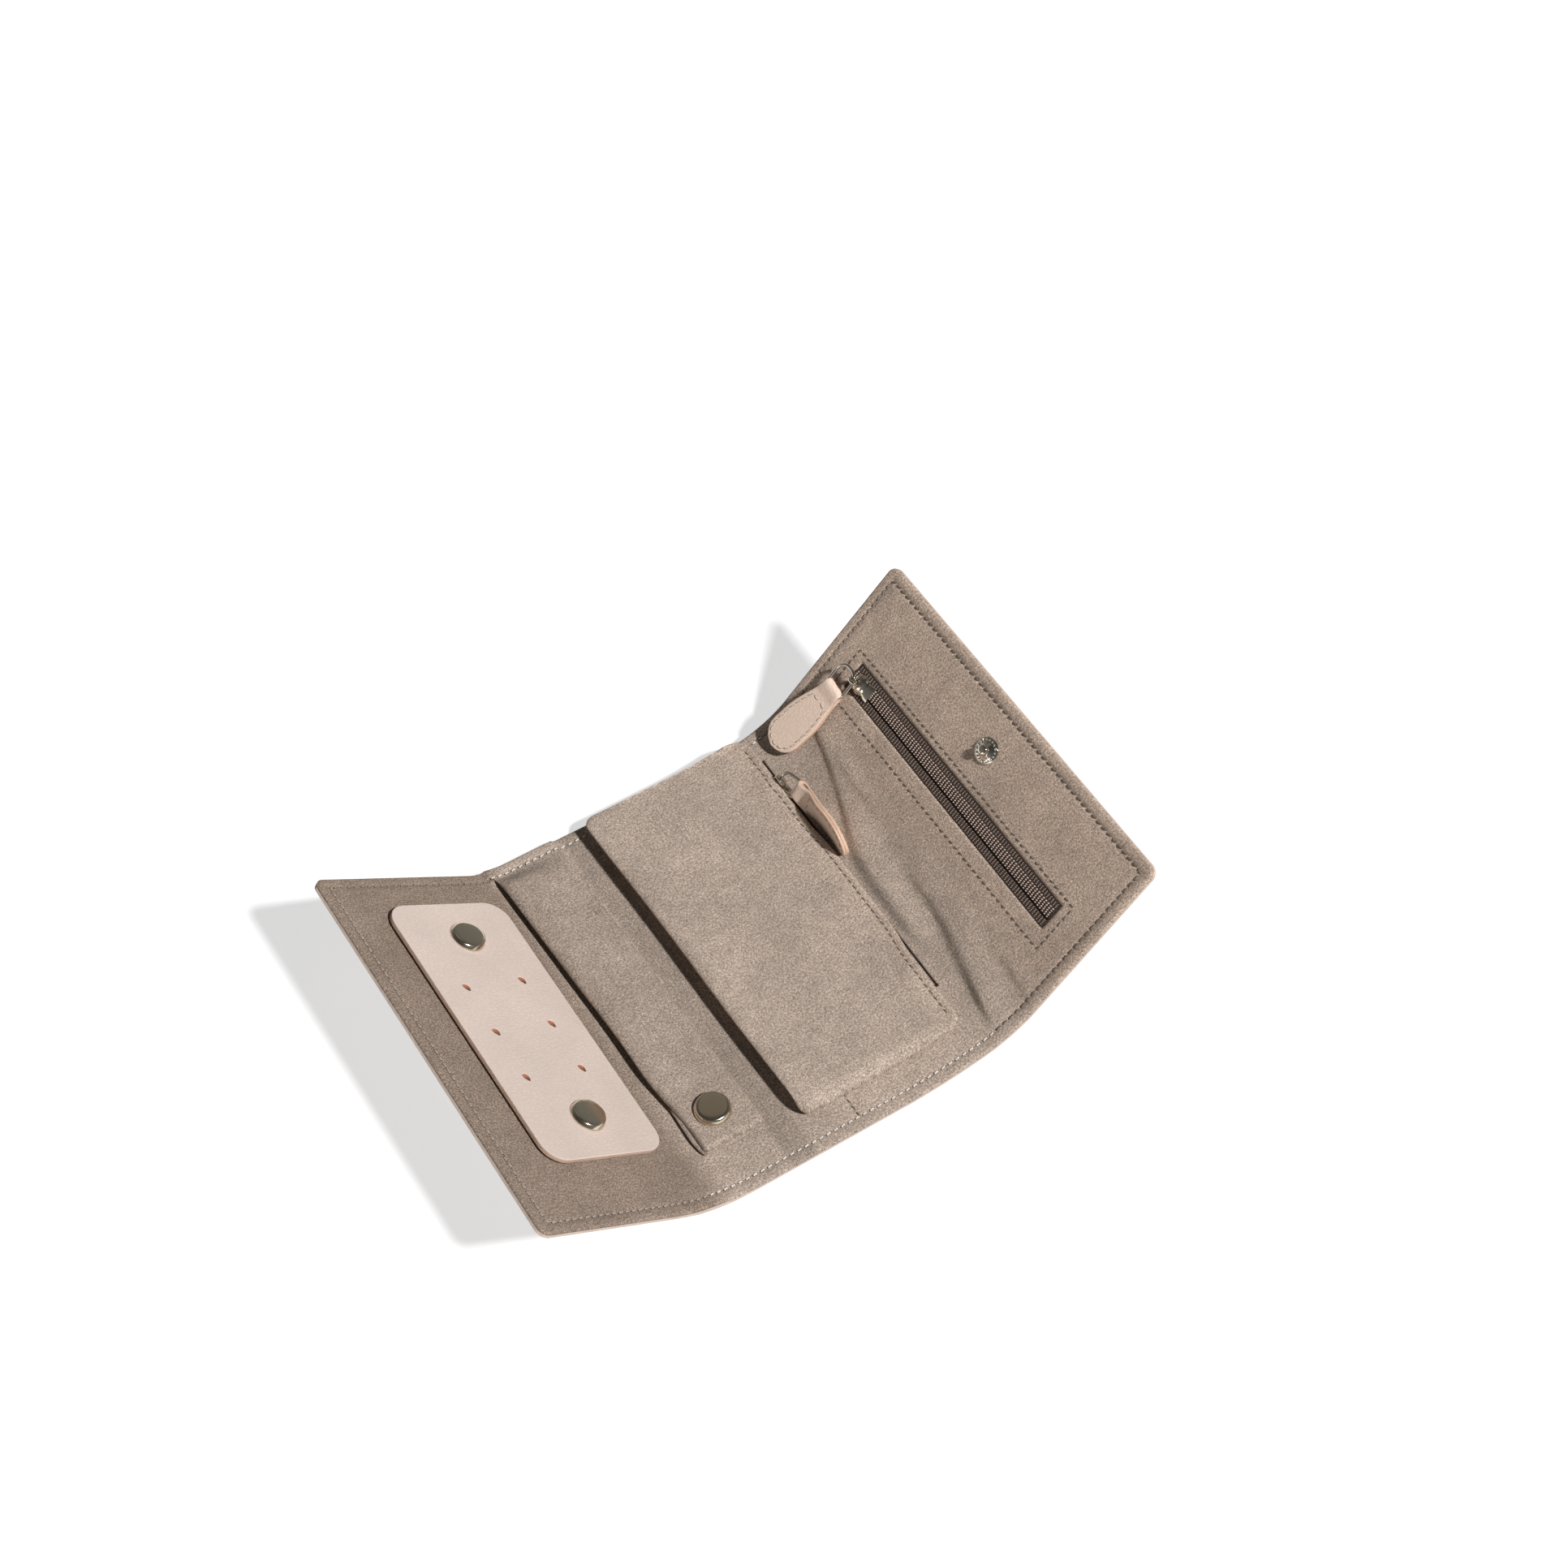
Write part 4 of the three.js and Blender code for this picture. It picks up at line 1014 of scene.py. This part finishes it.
# Zips: two woven tapes, a raised coil in rows of thread loops, and finer rows in the weave beside it
# Each profile lists (distance from the middle, height) pairs, and each row its distance from the middle
POCKET_PROFILES = {
    -1: ((0.02, 1.25), (0.5, 1.42), (1.0, 1.25), (1.3, 0.8), (1.5, 0.5), (1.9, 0.45), (2.15, 0.7), (2.4, 0.9),
         (5.1, 0.9)),
    1: ((0.02, 1.25), (0.5, 1.40), (1.2, 1.45), (1.9, 1.42), (2.5, 1.20), (2.8, 0.95), (3.0, 0.88),
        (5.1, 0.88)),
}
POCKET_COIL = {-1: (0.15, 1.0), 1: (0.7, 1.55, 2.35)}
POCKET_WEFT = {-1: (2.5, 3.15, 3.8, 4.45), 1: (3.2, 3.8, 4.4)}
POCKET_ZIP_ENDS = (-57.6, 59.6)
POUCH_PROFILE = ((0.05, 0.5), (0.12, 0.95), (0.35, 1.25), (0.6, 1.2), (0.75, 0.80))
POUCH_TAPE_EDGE = ((4.0, 0.80),)
POUCH_COIL = (0.4,)
POUCH_ZIP_ENDS = (-46, 62)
COIL_LOOP = {"pitch": 1.3, "length": 0.5, "radius": 0.27, "slant": 0.5}
WEFT_LOOP = {"pitch": 1.2, "length": 0.48, "radius": 0.20, "slant": 0.8}
FINE_LOOP = {"pitch": 0.85, "length": 0.55, "radius": 0.18, "slant": 0.5}
ZIP_ROWS = 60


def zip_half(owner, side, local, profile, ends, body, threads):
    label, stop = ("left", "near") if side < 0 else ("right", "far")
    across, height = np.array(profile).T
    order = np.argsort(side * across)
    x, y = np.meshgrid((side * across)[order], np.linspace(*ends, ZIP_ROWS), indexing="ij")
    top = stack(x, y, height[order][:, None])
    bottom = top * [1, 1, 0]
    tape = slab(f"{owner}_{label}_weave", placed(local, top), placed(local, bottom), stack(x, y), [zip_tape])
    rig(tape, body, "zip_tape", f"{owner}_tape_{label}", f"{owner}_chain_{label}", f"{owner}_stop_{stop}")

    def place(u, v, h):
        return placed(local, stack(u, v, np.interp(side * u, across, height) + h))
    for kind, rows, loop, colour in threads:
        parts = []
        for row in rows:
            path = stack(side * row, np.linspace(ends[0] + 0.5, ends[1] - 0.5, ZIP_ROWS))
            parts += stitch_parts(place, path, **loop)[0]
        # The loops end in the dark copy, painted shade in the gaps between them
        rig(stitch_object(f"{owner}_{label}_{kind}", parts, (colour, zip_gap_shade)), body, "zip_teeth")


for side in (-1, 1):
    threads = [("coil", POCKET_COIL[side], COIL_LOOP, zip_thread)]
    threads.append(("weft", POCKET_WEFT[side], WEFT_LOOP, zip_faint))
    profile = POCKET_PROFILES[side]
    zip_half("pocket", side, POCKET_ZIP_FRAME, profile, POCKET_ZIP_ENDS, "right_panel", threads)
    threads = [("coil", POUCH_COIL, FINE_LOOP, zip_faint)]
    profile = POUCH_PROFILE + (POUCH_TAPE_EDGE if side < 0 else ())
    zip_half("pouch", side, POUCH_ZIP_FRAME, profile, POUCH_ZIP_ENDS, "middle", threads)


# Zip sliders: a pressed channel with a wire lug for the bail
SLIDER_TOP = 3.1
SLIDER_SIDE = 1.0
SLIDER_ROOF = 1.62
LUG_RADIUS = 1.95
LUG_WIRE = 0.62
LUG_FOOT = 0.94


def zip_slider(owner, local, near, far, lug_at, half_near, half_far):
    """A rounded nose over the far end, a waist under the lug and a straight flange at the near end."""
    v = np.concatenate([np.linspace(0, 0.12, 4), np.linspace(0.2, 0.8, 11), np.linspace(0.84, 1, 7)])
    t = np.concatenate([np.linspace(-1, -0.8, 7), np.linspace(-0.7, 0.7, 15), np.linspace(0.8, 1, 7)])
    across, along = np.meshgrid(t, v, indexing="ij")
    nose = np.sqrt(np.clip(1 - (np.clip(along - 0.62, 0, 1) / 0.40) ** 2, 0, 1))
    waist = 1 - 0.22 * bump(along, 0.38, 0.14)
    half = (half_near + (half_far - half_near) * smooth(along, 0, 0.6)) * waist * (0.35 + 0.65 * nose)
    round_over = np.sqrt(np.clip(1 - np.abs(across) ** 2.6, 0, 1))
    crown = 0.45 + 0.75 * smooth(along, 0.0, 0.62) - 0.25 * bump(along, 0.36, 0.12)
    top = SLIDER_SIDE + (SLIDER_TOP - SLIDER_SIDE) * crown * round_over * (0.3 + 0.7 * nose)
    bottom = SLIDER_ROOF - 0.1 - 0.9 * smooth(np.abs(across), 0.80, 0.9)
    bottom = np.minimum(bottom, top - 0.25)
    x, y = half * across, near + (far - near) * along
    shell = slab_from_grids(stack(x, y, top), stack(x, y, bottom), stack(x, y))
    angles = np.radians(np.linspace(-20, 200, 24))
    arc = stack(0, lug_at + LUG_RADIUS * np.cos(angles), LUG_CENTRE + LUG_RADIUS * np.sin(angles))
    far_foot = [0, lug_at + LUG_RADIUS * LUG_FOOT, 2.2]
    near_foot = [0, lug_at - LUG_RADIUS * LUG_FOOT, 1.9]
    lug = tube_mesh([far_foot, *arc, near_foot], LUG_WIRE, 14, up=(1, 0, 0))
    points, faces = joined([shell[:2], lug])
    name = f"{owner}_slider_shell"
    made = make_object(name, placed(local, points), faces, [nickel], sharp=math.radians(60))
    rig(made, f"{owner}_slider_body", "nickel", f"{owner}_slider")


zip_slider("pocket", POCKET_ZIP_FRAME, 48.3, 57.4, POCKET_LUG, 3.3, 3.9)
zip_slider("pouch", POUCH_ZIP_FRAME, 45.6, 53.6, POUCH_LUG, 2.2, 2.5)


# Pulls: a wire bail, and a strip of leather folded over its far bar and sewn to itself
BAIL_WIRE = 0.6
BAIL_CORNER = 1.3
POCKET_BAIL = 9.0
POCKET_REACH = 9.8
POCKET_TAB_ROLL = math.radians(7)
POCKET_TAB_TURN = math.radians(-8)
POCKET_TAB_RISE = 0.05
POCKET_NECK = 3.9
POUCH_BAIL = 6.4
POUCH_REACH = 8.6
POUCH_BAIL_SHIFT = 1.85 - POUCH_BAIL
POUCH_BAIL_TURN = math.radians(14)
POUCH_NECK = 2.9
TAB_LENGTH = 30.5
TAB_HEAD = 7.0
TAB_STRAIGHT = TAB_LENGTH - TAB_HEAD
TAB_PLY = 0.95
TAB_STITCH_INSET = 1.4
TAB_STITCH = {"pitch": 2.7, "length": 2.1, "radius": 0.22}
TAB_CROSS = 6.5
TAB_ROWS = np.array([-1, -0.985, -0.95, -0.9, -0.8, -0.6, -0.35, 0, 0.35, 0.6, 0.8, 0.9, 0.95, 0.985, 1])


def bail_wire(owner, length, width, turn_point):
    outline = rounded_outline(-length, 0, 0, width, 0.45 * width, 12, BAIL_CORNER)
    points, faces = tube_mesh(stack(*outline.T, 0), BAIL_WIRE, 16, closed=True)
    made = make_object(f"{owner}_bail_wire", turn_point(points), faces, [nickel], sharp=math.pi)
    rig(made, f"{owner}_pull", "nickel", f"{owner}_bail")


def tab_half_width(d, neck):
    straight = neck + (TAB_HEAD - neck) * smooth(d, -3, 18)
    past = np.clip((d - TAB_STRAIGHT) / TAB_HEAD, 0, 1)
    return np.maximum(straight * np.sqrt(np.maximum(1 - past**2, 0)), 0.12)


def tab_ply_height(d):
    return TAB_PLY / 2 + 0.06 + 0.80 * fade(d, 0.0, 5.0)


def leather_tab(owner, neck, turn_point):
    """turn_point takes points with x towards the bail, y across and z through the tab."""
    head = TAB_STRAIGHT + TAB_HEAD * np.sin(np.radians(np.linspace(89.2, 0, 14)))
    stations = np.concatenate([head, np.linspace(TAB_STRAIGHT, 0, 34)[1:]])
    level = tab_ply_height(stations)
    fold = np.radians(np.linspace(90, -90, 13))[1:-1]
    arc = stack(np.cos(fold), np.sin(fold))
    path = np.concatenate([stack(-stations, level), tab_ply_height(0) * arc, stack(-stations, -level)[::-1]])
    normal = np.concatenate([stack(0 * stations, 1), arc, stack(0 * stations, -1)])
    half = tab_half_width(np.maximum(-path[:, 0], 0), neck)[:, None]
    y = half * TAB_ROWS
    soft = 0.22 * fade(half * (1 - np.abs(TAB_ROWS)), 0, 0.6) ** 2

    def skin(offset):
        x, z = (path.T[k][:, None] + normal.T[k][:, None] * offset for k in (0, 1))
        return turn_point(stack(x, y, z))
    run = np.concatenate([[0], np.cumsum(np.hypot(*np.diff(path, axis=0).T))])
    outer, inner = skin(TAB_PLY / 2 - soft), skin(-TAB_PLY / 2)
    tab = slab(f"{owner}_tab_leather", outer, inner, stack(run[:, None], y), [tab_leather, tan_edge])

    down = np.linspace(TAB_CROSS, TAB_STRAIGHT, 30)
    reach = tab_half_width(down, neck) - TAB_STITCH_INSET
    turn = np.radians(np.linspace(90, -90, 24))
    round_d = TAB_STRAIGHT + (TAB_HEAD - TAB_STITCH_INSET) * np.cos(turn)
    round_y = (TAB_HEAD - TAB_STITCH_INSET) * np.sin(turn)
    outline = np.concatenate([stack(down, reach), stack(round_d, round_y), stack(down, -reach)[::-1]])
    row = stack(TAB_CROSS, np.linspace(-reach[0], reach[0], 12))
    parts = []
    for face in (1, -1):
        def place(d, across, h):
            return turn_point(stack(-d, across, face * (tab_ply_height(d) + TAB_PLY / 2 + h)))
        for line in (outline, row):
            parts += stitch_parts(place, line, **TAB_STITCH)[0]
    # The stitch ends take the dark copy, painted shade in the needle holes
    seam = stitch_object(f"{owner}_tab_leather_seam", parts, (tab_thread, tab_needle_hole_shade))
    rig(tab, f"{owner}_pull", "tab_leather", f"{owner}_tab")
    rig(seam, f"{owner}_pull", "tab_leather")
    for made in (tab, seam):
        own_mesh(made)


def turned(points, angle):
    x, y, z = np.moveaxis(np.asarray(points, float), -1, 0)
    c, s = math.cos(angle), math.sin(angle)
    return stack(c * x - s * y, s * x + c * y, z)


def pocket_tab_point(points):
    x, across, through = np.moveaxis(points, -1, 0)
    c, s = math.cos(POCKET_TAB_ROLL), math.sin(POCKET_TAB_ROLL)
    rise = np.maximum(-POCKET_TAB_RISE * x, 0)
    rolled = stack(x, c * across - s * through, s * across + c * through + rise)
    return placed(POCKET_PULL_FRAME, turned(rolled, POCKET_TAB_TURN) + POCKET_BAR)


def pouch_bail_point(points):
    return placed(POUCH_PULL_FRAME, turned(points + [0, POUCH_BAIL_SHIFT, 0], math.pi / 2 + POUCH_BAIL_TURN))


def pouch_tab_point(points):
    """The pouch tab hangs from its leaning bail and twists until it stands on edge beside the pouch."""
    x, across, through = np.moveaxis(points, -1, 0)
    d = -x
    lean = np.radians(60.0 + 37.0 * smooth(d, 0, 13))
    x = 66.3 + 0.5 * smooth(d, 2, 12) - 1.0 * smooth(d, 18, 31)
    z = 14.75 + 0.5 * smooth(d, 2, 14)
    x = x - across * np.cos(lean) - through * np.sin(lean)
    z = z - across * np.sin(lean) + through * np.cos(lean)
    return stack(x, 41.0 - d, z)


POCKET_BAR = (-POCKET_REACH, POCKET_BAIL / 2, 0)
bail_wire("pocket", POCKET_REACH, POCKET_BAIL, lambda points: placed(POCKET_PULL_FRAME, points))
bail_wire("pouch", POUCH_REACH, POUCH_BAIL, pouch_bail_point)
pocket_anchor = tuple(placed(POCKET_PULL_FRAME, POCKET_BAR) * MM)
leather_tab("pocket", POCKET_NECK, pocket_tab_point)
leather_tab("pouch", POUCH_NECK, pouch_tab_point)

# The other metal pieces keep their solids and take the nickel finish
for name in ("closure_socket", "ring_socket", "ring_stud", "plate_stud_near", "plate_stud_far",
             "plate_socket_near", "plate_socket_far"):
    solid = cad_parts[name]
    solid.data.materials.clear()
    solid.data.materials.append(nickel)


# Floor, light and camera
FLOOR = 3.0
FLOOR_DROP = 0.0003
floor_mesh = bpy.data.meshes.new("floor")
floor_corners = [(-FLOOR, -FLOOR, 0), (FLOOR, -FLOOR, 0), (FLOOR, FLOOR, 0), (-FLOOR, FLOOR, 0)]
floor_mesh.from_pydata(floor_corners, [], [(0, 1, 2, 3)])
floor = add_to_scene("floor", floor_mesh)
floor.location.z = -FLOOR_DROP
floor_material, tree = new_material("floor")
rays = tree.nodes.new("ShaderNodeLightPath").outputs
seen = combined(tree, "MAXIMUM", rays["Is Camera Ray"], rays["Is Glossy Ray"], rays["Is Transmission Ray"])
feed(tree, tree.nodes["Principled BSDF"], {
    "Base Color": mix_colour(tree, seen, (0.60, 0.60, 0.60), (0.45, 0.45, 0.45)),
    "Roughness": 1.0, "Specular IOR Level": 0.0, "Emission Color": (1, 1, 1),
    "Emission Strength": spread(tree, seen, 0, 1, 0.0, 0.62),
})
floor_mesh.materials.append(floor_material)

world = bpy.data.worlds.new("studio")
bpy.context.scene.world = world
world.use_nodes = True
tree = world.node_tree
height = node(tree, "SeparateXYZ", "Z", {"Vector": coordinates(tree, "Generated")})
glow = spread(tree, height, 0.0, 0.9, 0.24, 0.06)
feed(tree, tree.nodes["Background"], {"Color": (1, 1, 1), "Strength": glow})


def add_light(name, kind, energy, towards, location=(0, 0, 0), **settings):
    light = bpy.data.lights.new(name, kind)
    light.energy = energy
    for key, value in settings.items():
        setattr(light, key, value)
    made = add_to_scene(name, light)
    made.location = location
    made.rotation_euler = Vector(towards).to_track_quat("Z", "Y").to_euler()


add_light("key", "SUN", 3.7, (0.33, -0.73, 1.0), angle=math.radians(4.5))
add_light("fill", "AREA", 0.7, (-0.85, -0.1, 0.14), (-0.75, -0.1, 0.18), shape="RECTANGLE",
          size=0.5, size_y=0.3)
add_light("soft_box", "AREA", 0.14, (0.313, 0.498, 0.809), (0.33, 0.50, 0.85), shape="RECTANGLE",
          size=0.6, size_y=0.6, color=(1.0, 0.87, 0.70))

# Camera fitted to the corners of the sheet; the focal length is in pixels of a picture this wide
SENSOR = 36.0
FOCAL_PIXELS = 3595.7
PICTURE_WIDTH = 1932
AZIMUTH, ELEVATION = math.radians(-32.18), math.radians(53.98)
DISTANCE = 1.0164
TARGET = Vector((0.06907, 0.05504, 0))
camera = bpy.data.cameras.new("camera")
camera.sensor_width = SENSOR
camera.lens = SENSOR * FOCAL_PIXELS / PICTURE_WIDTH
camera.clip_start = 0.01
camera.clip_end = 20
camera_object = add_to_scene("camera", camera)
level = math.cos(ELEVATION)
back = Vector((math.sin(AZIMUTH) * level, -math.cos(AZIMUTH) * level, math.sin(ELEVATION)))
camera_object.location = TARGET + DISTANCE * back
camera_object.rotation_euler = back.to_track_quat("Z", "Y").to_euler()
bpy.context.scene.camera = camera_object

bpy.context.scene.view_settings.view_transform = "Standard"
